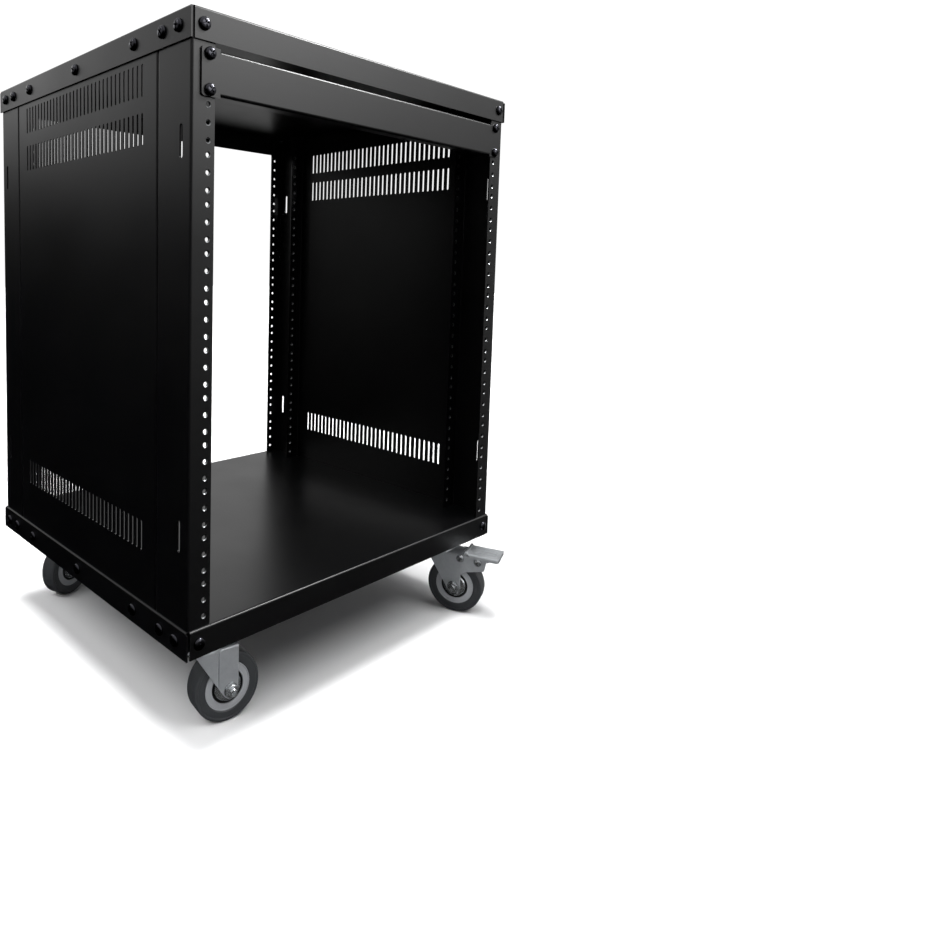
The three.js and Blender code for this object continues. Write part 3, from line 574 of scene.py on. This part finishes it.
def panHead(name, diameter, height, material):
    radius, arm, half = diameter / 2, diameter * panShape["arm"], diameter * panShape["halfSlot"]
    tip = math.degrees(math.atan(half / arm))
    angles = [90 * k + a for k in range(4) for a in (-tip, 0, tip, 30, 45, 60)]
    rings = [(radius * panShape["neck"], -panShape["sunk"])]
    rings += [(r * radius, h * height) for r, h in panShape["dome"]]
    points = [(r * math.cos(math.radians(a)), r * math.sin(math.radians(a)), h) for r, h in rings for a in angles]
    for shrink, h in ((1.0, height), (panShape["taper"], panShape["recess"] * height)):
        for a in angles:
            turn = math.radians((a + 45) % 90 - 45)
            reach = min(arm / math.cos(turn), half / max(abs(math.sin(turn)), 1e-6)) * shrink
            points.append((reach * math.cos(math.radians(a)), reach * math.sin(math.radians(a)), h))
    points.append((0, 0, panShape["point"] * height))
    n = len(angles)
    faces = [(r * n + k, r * n + (k + 1) % n, (r + 1) * n + (k + 1) % n, (r + 1) * n + k)
             for r in range(len(rings) + 1) for k in range(n)]
    faces += [((len(rings) + 1) * n + k, (len(rings) + 1) * n + (k + 1) % n, len(points) - 1) for k in range(n)]
    faces.append(tuple(reversed(range(n))))
    return makeObject(name, points, faces, material, sharpAngle=40)


# a hexagon with a chamfered top, solid or with a bore
def hexHead(name, across, height, material, bore=0.0, base=0.0, place=None, steps=36, chamfer=30, crown=0.94):
    apothem, top, n = across / 2, base + height, steps
    flat = apothem * crown
    turns = [2 * math.pi * k / steps for k in range(steps)]
    corner = [apothem / math.cos((t + math.pi / 6) % (math.pi / 3) - math.pi / 6) for t in turns]
    levels = [[(r, base) for r in corner],
              [(r, top - (r - flat) * math.tan(math.radians(chamfer))) for r in corner], [(flat, top)] * n]
    if bore:
        levels += [[(bore, top)] * n, [(bore, base)] * n]
    rings = len(levels)
    points = [(r * math.cos(t), r * math.sin(t), h) for level in levels for (r, h), t in zip(level, turns)]
    faces = [(r * n + k, r * n + (k + 1) % n, (r + 1) % rings * n + (k + 1) % n, (r + 1) % rings * n + k)
             for r in range(rings if bore else rings - 1) for k in range(n)]
    if not bore:
        faces += [tuple(reversed(range(n))), tuple(range(2 * n, 3 * n))]
    return makeObject(name, points, faces, material, place, sharpAngle=20)


screws = {"lipDiameter": 12.2, "lipHeight": 3.2, "sideY": (-207, -180, -128, 0, 128, 180, 207), "endX": (-239, 239),
          "heights": (687.4, 118.0), "panelDiameter": 11.6, "panelHeight": 3.6, "lipSeed": 4, "panelSeed": 11}
lipScrew = panHead("lipScrew", screws["lipDiameter"], screws["lipHeight"], blackOxide)
lipSpots = []
for height in screws["heights"]:
    for side in (-1, 1):
        lipSpots += [((side * tray["halfX"], y, height), (side, 0, 0)) for y in screws["sideY"]]
        lipSpots += [((x, side * tray["halfY"], height), (0, side, 0)) for x in screws["endX"]]
mount(scatter("lipScrews", lipScrew, lipSpots, blackOxide, screws["lipSeed"]), "case")
panelScrew = panHead("panelScrew", screws["panelDiameter"], screws["panelHeight"], blackOxide)
panelSpots = [((side * case["holeColumn"], blank["front"], blank["centre"] + end * blank["screwRise"]), (0, -1, 0))
              for side in (-1, 1) for end in (-1, 1)]
mount(scatter("panelScrews", panelScrew, panelSpots, blackOxide, screws["panelSeed"]), "case",
      "panel_screw_left_upper", "panel_screw_left_lower", "panel_screw_right_upper", "panel_screw_right_lower")
# every rack hole is countersunk and tapped after painting, so its edge and thread are bare
thread = {"rim": 2.88, "bore": 2.08, "countersink": 0.6, "deep": 1.78, "steps": 16, "seed": 2}
rim, bore, countersink, deep = (thread[k] for k in ("rim", "bore", "countersink", "deep"))
threadRing = lathe("thread", [(rim, 0), (rim, -deep), (bore, -deep), (bore, -countersink)], bareSteel,
                   thread["steps"])
threadSpots = []
for end in (-1, 1):
    for side in (-1, 1):
        for inset in (0, postSheet["depth"]):
            y = end * (case["halfDepth"] - inset)
            facing = (0, end if inset == 0 else -end, 0)
            threadSpots += [((side * case["holeColumn"], y, case["unitsBottom"] + unit * case["unit"] + rise), facing)
                            for unit in range(case["units"]) for rise in rackHole["rises"].values()]
mount(scatter("threads", threadRing, threadSpots, bareSteel, thread["seed"]), "case")
for spare in (lipScrew, panelScrew, threadRing):
    bpy.data.objects.remove(spare)
print("fasteners made")


# casters, drawn from the swivel axis on the floor with the wheel trailing along +X
caster = {"swivelX": 204.0, "swivelY": 181.0, "trail": 26.0, "axle": 37.5,
          "spots": {"front_left": (-1, -1, -10, False), "front_right": (1, -1, -70, True),
                    "rear_left": (-1, 1, 20, False), "rear_right": (1, 1, 70, True)}}
plate = {"length": 88.0, "width": 64.0, "sheet": 2.5, "bottom": 101.5, "boltX": 34.0, "boltY": 22.0, "corner": 6.0,
         "slotLength": 12, "slotWidth": 8.4, "slotCorner": 4.15, "boltAcross": 13, "boltHead": 5, "boltSeed": 7}
axleBolt = {"across": 13, "head": 3.5, "nut": 4.6, "bore": 4.1, "seat": 18.3}
forkShape = {"sheet": 2.5, "bend": 1.5, "width": 34.0, "front": -15.0, "rear": 35.0, "top": 85.0, "boss": 9.0,
             "bossSteps": 10, "crease": 12.0, "creaseHalf": 0.9, "groove": 1.1, "toeIn": 0.13, "kingpinHole": 10.6,
             "kingpinHoleCorner": 5.25, "axleHole": 8.4, "axleHoleCorner": 4.15,
             "arm": [(0.4, 84.8, 0), (35, 82, 2), (32, 67.5, 2.5), (6, 61, 5), (0, 56, 3)]}
# turned and moulded pieces: radius, height and corner of each point, about the swivel (z) or the axle,
# cut into steps round it and fine steps round each corner; halves says that the far side mirrors this one
turnedShapes = {
    "dome": {"axis": "z", "fine": 3, "points": [
        (5.3, 92, 0), (19, 92, 1.6), (21.9, 85, 1.2), (22, 82.6, 0.3), (20, 82.6, 0.3), (17.3, 89.8, 1.5),
        (5.3, 89.8, 0)]},
    "race": {"axis": "z", "points": [
        (5.3, 95.5, 0), (18.2, 95.5, 1.6), (21.4, 101.3, 1.5), (24, 101.5, 0), (24, 102, 0), (5.3, 102, 0)]},
    "kingpin": {"axis": "z", "steps": 32, "points": [
        (0, 79.4, 0), (6.2, 79.4, 1.5), (9, 82.2, 0.4), (5, 82.2, 0), (5, 103.7, 0), (0, 103.7, 0)]},
    "tyre": {"fine": 3, "steps": 96, "sharp": 10, "halves": True, "points": [
        (25.8, -9.8, 0), (27, -10.7, 0.6), (33, -11, 0.3), (33.5, -10.5, 0.3), (34, -11, 0.3), (36.1, -10.8, 1.1),
        (37.4, -9.2, 1.6), (37.5, 0, 0)]},
    "wheelCentre": {"fine": 2, "steps": 96, "sharp": 10, "halves": True, "points": [
        (4.3, -8.8, 0), (8.5, -8.8, 0.6), (9.6, -4, 1), (17.0, -3.6, 1), (18.0, -8.6, 0), (18.2, -10.3, 0.3),
        (19.2, -10.3, 0.3), (19.7, -9.8, 0.2), (24.2, -9.8, 0.2), (24.7, -10.3, 0.3), (25.6, -10.3, 0.2),
        (25.8, -9.6, 0)]},
    "seal": {"sharp": 10, "points": [
        (9.8, 4.5, 0), (16.7, 4.3, 0), (17.7, 9.3, 0), (18.1, 9.3, 0), (17.2, 3.7, 0), (9.8, 4.1, 0)]},
    "guard": {"fine": 3, "steps": 64, "sharp": 10, "points": [
        (15.2, 9.1, 0), (15.2, 10.6, 0.8), (13.8, 12.2, 2), (9.8, 13.5, 1), (8.4, 14.2, 0.4), (4.6, 14.2, 0),
        (4.6, 13.2, 0), (8.2, 13.1, 1), (13.2, 11.3, 1), (14.2, 10.1, 0.4), (14.2, 9.1, 0)]},
    "collar": {"steps": 32, "points": [
        (0, -22.2, 0), (1.9, -22.4, 0), (2.3, -24.1, 0), (3.4, -24.4, 0), (4.1, -23.6, 0), (4.3, -21.6, 0),
        (0, -21.6, 0)]},
    "washer": {"fine": 2, "points": [(4.2, 17.05, 0), (8, 17.05, 0.3), (8, 18.3, 0.3), (4.2, 18.3, 0)]},
    "shank": {"fine": 2, "points": [(0, -18.4, 0), (3.95, -18.4, 0), (3.95, 24.8, 0.8), (0, 24.8, 0)]},
}


def turnPiece(name, kind, material, place, side=1):
    shape = turnedShapes[kind]
    points = [(radius, side * height, corner) for radius, height, corner in shape["points"]]
    if shape.get("halves"):
        points += [(radius, -height, corner) for radius, height, corner in reversed(points) if height]
    axis = shape.get("axis", "y")
    centre = (caster["trail"], caster["axle"]) if axis == "y" else (0, 0)
    return lathe(name, roundCorners(points, shape.get("fine", 4)), material, shape.get("steps", 48), axis, centre,
                 place, shape.get("sharp", 32))


# a plate standing along the fork, drawn as points of length and height
def slab(name, outline, across, material, place):
    n = len(outline)
    points = [(a, y, z) for y in across for a, z in outline]
    faces = [tuple(range(n)), tuple(reversed(range(n, 2 * n)))]
    faces += [(k, (k + 1) % n, n + (k + 1) % n, n + k) for k in range(n)]
    return makeObject(name, points, faces, material, place)


def makeFork(name, braked, place):
    sheet, bend, width = forkShape["sheet"], forkShape["bend"], forkShape["width"]
    front, rear, top, boss = (forkShape[k] for k in ("front", "rear", "top", "boss"))
    trail, axle = caster["trail"], caster["axle"]
    foot = axle - boss
    path = foldPath([top - foot, width, top - foot], [90, 90], bend, sheet)
    bendStart = top - bend - sheet
    rise, run = top - axle, trail - front
    tangent = math.atan2(rise, -run) + math.acos(boss / math.hypot(rise, run))
    steps = forkShape["bossSteps"]
    sweep = [-(2 * math.pi - tangent) * k / steps for k in range(steps + 1)]
    low = (trail + boss * math.cos(tangent), axle + boss * math.sin(tangent))
    slant = front + (low[0] - front) * (top - bendStart) / (top - low[1])
    rearEdge = [(rear, bendStart), (rear, axle)]
    arm = [(rear + reach, height, corner) for reach, height, corner in forkShape["arm"]]
    armStart = arm[0][0]
    if braked:  # the arms reach back beside the wheel, above a rounded step
        rearEdge = roundCorners([(rear, bendStart, 0), (armStart, bendStart, 0), *arm, (rear, axle, 0)])
    leg = rearEdge + [(trail + boss * math.cos(t), axle + boss * math.sin(t)) for t in sweep[1:]]
    leg += [(slant, bendStart)]
    across = [(z - foot, along) for along, z in leg]
    outline = across + [(path["at"](1, bend + sheet), front), (path["at"](1, width - bend - sheet), front)]
    outline += [(path["length"] - u, v) for u, v in reversed(across)]
    across, corner = forkShape["kingpinHole"], forkShape["kingpinHoleCorner"]
    patterns = {"kingpin hole": {"centre": (path["at"](1, width / 2), 0), "width": across, "height": across,
                                 "corner": corner}}
    across, corner = forkShape["axleHole"], forkShape["axleHoleCorner"]
    for label, u in (("left axle hole", axle - foot), ("right axle hole", path["length"] - axle + foot)):
        patterns[label] = {"centre": (u, trail), "width": across, "height": across, "corner": corner}
    crease, creaseHalf = forkShape["crease"], forkShape["creaseHalf"]

    def fold(u, v, deep):
        section = path["bent"](u, deep)
        arm = v > (rear + armStart) / 2
        firstLeg = u < path["length"] / 2
        height = np.where(arm, np.where(firstLeg, u, path["length"] - u), section[:, 0])
        side = np.where(arm, np.where(firstLeg, deep, width - deep), section[:, 1]) - width / 2
        # the legs of a plain fork lean in, with a groove where that starts
        inward = np.clip(crease - v, 0, None) * forkShape["toeIn"]
        toeIn = 0 if braked else inward + (np.abs(v - crease) < creaseHalf / 2) * forkShape["groove"]
        return np.stack([v, side * (1 - toeIn * 2 / width), foot + height], 1)

    body = foldPiece(name, outline, sheet, patterns, brightZinc, path["cuts"],
                     [crease - creaseHalf, crease, crease + creaseHalf], fold, place)
    dome = turnPiece(name + ".dome", "dome", brightZinc, place)
    return joinObjects(name, [body, dome])


brake = {"pivot": (58.0, 78.0), "start": 42.0, "reach": 86.0, "width": 38.0, "top": 88.5, "lip": 6.0, "sheet": 1.8,
         "bend": 1.0, "roll": 2.2, "rollCorner": 0.5, "slope": 5, "tipSlope": 1, "shoulder": 2.8, "lipCorner": 1.5,
         "end": [(84.4, 87.4, 0), (86, 87.4, 0), (86, 82.5, 0.5), (84.4, 82.5, 0.5)], "endHalf": 16.6,
         "ribs": (-8.5, 0, 8.5), "ribMiddle": 66, "ribHalf": 15, "ribRadius": 1.5, "ribCorner": 1.4, "ribSunk": 0.2,
         "ribFlatness": 0.7, "cheeks": (12.0, 14.2),
         "cheek": [(46, 87.2, 0), (66, 87.2, 0), (66, 76, 3), (58.4, 64, 1), (54.6, 64, 1), (52.5, 76, 3)],
         "shoe": [(55, 72, 0.6), (57, 72, 0.6), (57, 64, 0.6), (55, 64, 0.6)],
         "armRivet": (34.0, 79.0), "rivetRadius": 5.3, "rivetHeight": 2.8, "rivetEdge": 0.3, "shankRadius": 3,
         "rivetClear": 0.05}


def makePedal(name, place):
    width, top, sheet, roll = (brake[k] for k in ("width", "top", "sheet", "roll"))
    path = foldPath([brake["lip"], width, brake["lip"]], [90, 90], brake["bend"], sheet)
    start, end = brake["start"] + roll * 0.6, brake["reach"]
    left, right = path["at"](1, brake["shoulder"]), path["at"](1, width - brake["shoulder"])
    edge, corner = path["length"], brake["lipCorner"]
    lipStart, lipEnd = start + brake["slope"], end - brake["tipSlope"]
    outline = roundCorners([(0, lipStart, corner), (left, start, 0), (right, start, 0), (edge, lipStart, corner),
                            (edge, lipEnd, corner), (right, end, 0), (left, end, 0), (0, lipEnd, corner)], 3)

    def fold(u, v, deep):
        section = path["bent"](u, deep)
        return np.stack([v, section[:, 1] - width / 2, top - brake["lip"] + section[:, 0]], 1)

    parts = [foldPiece(name, outline, sheet, {}, brightZinc, path["cuts"], [], fold, place)]

    def bar(word, radius, half, corner, steps, centre, fine, where):  # a round bar lying across the pedal
        profile = roundCorners([(0, -half, 0), (radius, -half, corner), (radius, half, corner), (0, half, 0)], fine)
        parts.append(lathe(name + word, profile, brightZinc, steps, "y", centre, where))

    bar(".roll", roll, width / 2, brake["rollCorner"], 24, (brake["start"], top - sheet / 2), 3, place)
    parts.append(slab(name + ".end", roundCorners(brake["end"], 2), (-brake["endHalf"], brake["endHalf"]), brightZinc,
                      place))
    for middle in brake["ribs"]:  # pressed ribs stiffen the tread
        turn = Matrix.Translation((brake["ribMiddle"], middle, top - brake["ribSunk"]))
        turn = turn @ Matrix.Rotation(math.pi / 2, 4, "Z") @ Matrix.Scale(brake["ribFlatness"], 4, (0, 0, 1))
        bar(".rib", brake["ribRadius"], brake["ribHalf"], brake["ribCorner"], 12, (0, 0), 4, place @ turn)
    inner, outer = brake["cheeks"]
    for side in (-1, 1):
        across = (side * inner, side * outer)
        parts.append(slab(name + ".cheek", roundCorners(brake["cheek"]), across, brightZinc, place))
    parts.append(slab(name + ".shoe", roundCorners(brake["shoe"], 2), (-outer, outer), brightZinc, place))
    return joinObjects(name, parts)


def rivet(name, at, place):  # a shank right through, domed at both ends
    half, radius, height = forkShape["width"] / 2 + brake["rivetClear"], brake["rivetRadius"], brake["rivetHeight"]
    edge, shank = brake["rivetEdge"], brake["shankRadius"]
    turns = [math.radians(t) for t in (90, 70, 50, 30, 12, 0)]
    dome = [(radius * math.cos(t), half + edge + (height - edge) * math.sin(t)) for t in turns]
    profile = dome + [(radius, half), (shank, half), (shank, -half), (radius, -half)]
    profile += [(a, -b) for a, b in reversed(dome)]
    return lathe(name, profile, zincHardware, 28, "y", at, place, 50)


def makeCaster(prefix, sideX, sideY, angle, braked):
    words = prefix.split("_")
    label = words[0] + words[1].capitalize()
    where = Matrix.Translation((sideX * caster["swivelX"], sideY * caster["swivelY"], 0))
    fixed = where @ Matrix.Rotation(math.radians(angle), 4, "Z")
    swivel, rolling = prefix + "_swivel", prefix + "_wheel"
    a, b, corner = plate["length"] / 2, plate["width"] / 2, plate["corner"]
    outline = roundCorners([(-a, -b, corner), (a, -b, corner), (a, b, corner), (-a, b, corner)], 5)
    holes = {"bolt holes": {"centre": (0, 0), "columns": 2, "rows": 2, "spanAcross": 2 * plate["boltX"],
                            "spanUp": 2 * plate["boltY"], "width": plate["slotLength"], "height": plate["slotWidth"],
                            "corner": plate["slotCorner"]}}
    flat = cutSheet(label + ".plate", outline, plate["sheet"], holes, brightZinc)
    top = finishMesh(label + ".plate", flat, brightZinc, where @ Matrix.Translation((0, 0, plate["bottom"])))
    race = turnPiece(label + ".race", "race", brightZinc, where)
    mount(joinObjects(label + ".plate", [top, race]), "case", prefix + "_caster_plate")
    mount(turnPiece(label + ".kingpin", "kingpin", brightZinc, where), "case", prefix + "_caster_kingpin")
    mount(makeFork(label + ".fork", braked, fixed), swivel, prefix + "_caster_fork")
    mount(turnPiece(label + ".tyre", "tyre", greyRubber, fixed), rolling, prefix + "_tyre")
    mount(turnPiece(label + ".wheelCentre", "wheelCentre", greyPlastic, fixed), rolling, prefix + "_wheel_centre")
    for word, side in (("outer", -1), ("inner", 1)):
        mount(turnPiece(label + "." + word + "Seal", "seal", blackSeal, fixed, side), rolling)
    for word, side in (("outer", -1), ("inner", 1)):
        guard = turnPiece(label + "." + word + "Guard", "guard", zincHardware, fixed, side)
        mount(guard, swivel, prefix + "_" + word + "_guard")
    atAxle = fixed @ Matrix.Translation((caster["trail"], 0, caster["axle"]))
    across, seat = axleBolt["across"], axleBolt["seat"]
    head = hexHead(label + ".head", across, axleBolt["head"], zincHardware, base=seat,
                   place=atAxle @ Matrix.Rotation(math.pi / 2, 4, "X"))
    parts = [turnPiece(label + "." + kind, kind, zincHardware, fixed, side)
             for kind, side in (("shank", 1), ("washer", -1), ("collar", 1))]
    mount(joinObjects(label + ".axle", [head, *parts]), swivel, prefix + "_axle")
    nut = hexHead(label + ".nut", across, axleBolt["nut"], zincHardware, axleBolt["bore"], seat,
                  atAxle @ Matrix.Rotation(-math.pi / 2, 4, "X"))
    ring = turnPiece(label + ".nutWasher", "washer", zincHardware, fixed)
    mount(joinObjects(label + ".nut", [nut, ring]), swivel, prefix + "_axle_nut")
    if braked:
        mount(makePedal(label + ".pedal", fixed), prefix + "_pedal", prefix + "_brake_pedal")
        mount(rivet(label + ".brakePin", brake["pivot"], fixed), swivel, prefix + "_brake_pin")
        mount(rivet(label + ".armRivet", brake["armRivet"], fixed), swivel)


for prefix, spot in caster["spots"].items():
    makeCaster(prefix, *spot)
bolt = hexHead("plateBolt", plate["boltAcross"], plate["boltHead"], blackOxide)
boltSpots = [((sx * caster["swivelX"] + i * plate["boltX"], sy * caster["swivelY"] + j * plate["boltY"],
               plate["bottom"]), (0, 0, -1)) for sx, sy, angle, braked in caster["spots"].values()
             for i in (-1, 1) for j in (-1, 1)]
mount(scatter("plateBolts", bolt, boltSpots, zincHardware, plate["boltSeed"]), "case")
bpy.data.objects.remove(bolt)
print("casters made")


# camera: where the photographer stood, with the case off to the left of the picture
shot = {"place": (-609.5, -756.2, 475.3), "yaw": 42.14, "pitch": -4.38, "roll": 1.07,
        "focalPixels": 705.4, "centrePixels": (290, 320), "sensor": 36, "clip": (0.02, 100)}
pictureSize = (951, 945)


def makeCamera():
    yaw, pitch, roll = (math.radians(shot[k]) for k in ("yaw", "pitch", "roll"))
    forward = Vector((math.sin(yaw) * math.cos(pitch), math.cos(yaw) * math.cos(pitch), math.sin(pitch)))
    level = Vector((math.cos(yaw), -math.sin(yaw), 0))
    right = level * math.cos(roll) + level.cross(forward) * math.sin(roll)
    up = right.cross(forward)
    data = bpy.data.cameras.new("camera")
    data.sensor_width = shot["sensor"]
    data.lens = shot["focalPixels"] / pictureSize[0] * data.sensor_width
    data.shift_x = (pictureSize[0] / 2 - shot["centrePixels"][0]) / pictureSize[0]
    data.shift_y = (shot["centrePixels"][1] - pictureSize[1] / 2) / pictureSize[0]
    data.clip_start, data.clip_end = shot["clip"]
    camera = bpy.data.objects.new("camera", data)
    turn = Matrix((right, up, -forward)).transposed().to_4x4()
    camera.matrix_world = Matrix.Translation(Vector(shot["place"]) * mm) @ turn
    bpy.context.scene.collection.objects.link(camera)
    bpy.context.scene.camera = camera


makeCamera()
floorHalf, floorHeight = 12, -0.0005  # metres, just under the tyres
floorMesh = bpy.data.meshes.new("floor")
floorMesh.from_pydata([(floorHalf * a, floorHalf * b, floorHeight) for a, b in ((-1, -1), (1, -1), (1, 1), (-1, 1))],
                      [], [(0, 1, 2, 3)])
floor = bpy.data.objects.new("floor", floorMesh)
bpy.context.scene.collection.objects.link(floor)
floorMesh.materials.append(makeSurface("white paper floor", ("#ededee", "#f2f2f3"), (0.8, 0.9), 0, 3.0, 900, 0.005))
floor.visible_glossy = False

# the studio round the case: each glow is a soft patch towards a bearing, rising between two heights
glows = [
    # walls above the horizon, and the ceiling
    {"towards": (0, 0, 0), "spread": (-2, -1), "rise": (0.1, 0.31), "strength": 0.45},
    {"towards": (0, 0, 0), "spread": (-2, -1), "rise": (0.4, 1.0), "strength": 0.4},
    # left rear wall, and its left end
    {"towards": (-0.2, 0.98, 0), "spread": (0.86, 0.96), "rise": (0.06, 0.24), "strength": 0.9},
    {"towards": (-0.85, 0.53, 0), "spread": (0.955, 0.985), "rise": (-0.1, 0.12), "strength": 0.28},
    # front wall, and the window in it
    {"towards": (0.6, -0.8, 0), "spread": (0.2, 0.8), "rise": (-0.5, 0.08), "strength": 0.24},
    {"towards": (0.45, -0.89, 0), "spread": (0.82, 0.98), "rise": (0.06, 0.38), "strength": 4.2},
    # white rear wall, and its dark right end
    {"towards": (0.85, 0.53, 0), "spread": (0.55, 0.85), "rise": (-0.6, -0.2), "strength": 0.42},
    {"towards": (0.95, 0.31, 0), "spread": (0.84, 0.93), "rise": (-0.05, 0.1), "strength": -0.9},
]
world = bpy.data.worlds.new("studio")
bpy.context.scene.world = world
world.use_nodes = True
sky = world.node_tree
direction = addNode(sky, "ShaderNodeTexCoord").outputs["Generated"]
height = addNode(sky, "ShaderNodeSeparateXYZ", links={"Vector": direction}).outputs["Z"]
total = None
for glow in glows:
    bearing = addNode(sky, "ShaderNodeVectorMath", {"operation": "DOT_PRODUCT"}, {1: glow["towards"]}, {0: direction})
    wide = addNode(sky, "ShaderNodeMapRange", {"interpolation_type": "SMOOTHSTEP"}, {
        "From Min": glow["spread"][0], "From Max": glow["spread"][1]}, {"Value": bearing.outputs["Value"]})
    tall = addNode(sky, "ShaderNodeMapRange", {"interpolation_type": "SMOOTHSTEP"}, {
        "From Min": glow["rise"][0], "From Max": glow["rise"][1], "To Max": glow["strength"]}, {"Value": height})
    patch = addNode(sky, "ShaderNodeMath", {"operation": "MULTIPLY"},
                    links={0: wide.outputs["Result"], 1: tall.outputs["Result"]})
    total = patch if total is None else addNode(sky, "ShaderNodeMath", {"operation": "ADD"},
                                                links={0: total.outputs["Value"], 1: patch.outputs["Value"]})
total = addNode(sky, "ShaderNodeMath", {"operation": "MAXIMUM"}, {1: 0.0}, {0: total.outputs["Value"]})
# the picture's own background is plain white
seen = addNode(sky, "ShaderNodeLightPath").outputs["Is Camera Ray"]
strength = addNode(sky, "ShaderNodeMix", {"data_type": "FLOAT"}, {3: 1.05}, {0: seen, 2: total.outputs["Value"]})
sky.links.new(strength.outputs[0], sky.nodes["Background"].inputs["Strength"])
sky.nodes["Background"].inputs["Color"].default_value = (1, 1, 1, 1)


def addLight(name, kind, energy, spot, aim, mirrored=True, lit=True, **settings):
    data = bpy.data.lights.new(name, kind)
    data.energy = energy
    for key, value in settings.items():
        setattr(data, key, value)
    light = bpy.data.objects.new(name, data)
    light.location = Vector(spot) * mm
    light.visible_glossy, light.visible_diffuse = mirrored, lit
    light.rotation_euler = (Vector(aim) - Vector(spot)).to_track_quat("-Z", "Y").to_euler()
    bpy.context.scene.collection.objects.link(light)


# the glows are there for reflections alone, so the case's shadow comes from the lamps
world.cycles_visibility.diffuse = False
addLight("skylight", "SUN", 4.4, (-150, 50, 2500), (0, 0, 0), False, angle=math.radians(24))
addLight("leftBank", "SUN", 1.9, (-1900, -200, 2500), (0, 0, 0), False, angle=math.radians(34))
addLight("frontBank", "SUN", 1.2, (300, -1500, 2500), (0, 0, 0), False, angle=math.radians(30))
addLight("dome", "SUN", 0.5, (0, 0, 2500), (0, 0, 0), False, angle=math.radians(170))
addLight("frontFill", "AREA", 5, (300, -2200, 170), (0, 0, 150), False, shape="RECTANGLE", size=2.0, size_y=0.3)
addLight("keySoftbox", "AREA", 55, (1380, -1230, 2040), (0, 0, 500), lit=False, shape="SQUARE", size=0.55)
addLight("rimSoftbox", "AREA", 2.5, (-1700, 1300, 1900), (0, 0, 400), lit=False, shape="SQUARE", size=0.6)
bpy.context.scene.view_settings.view_transform = "Standard"
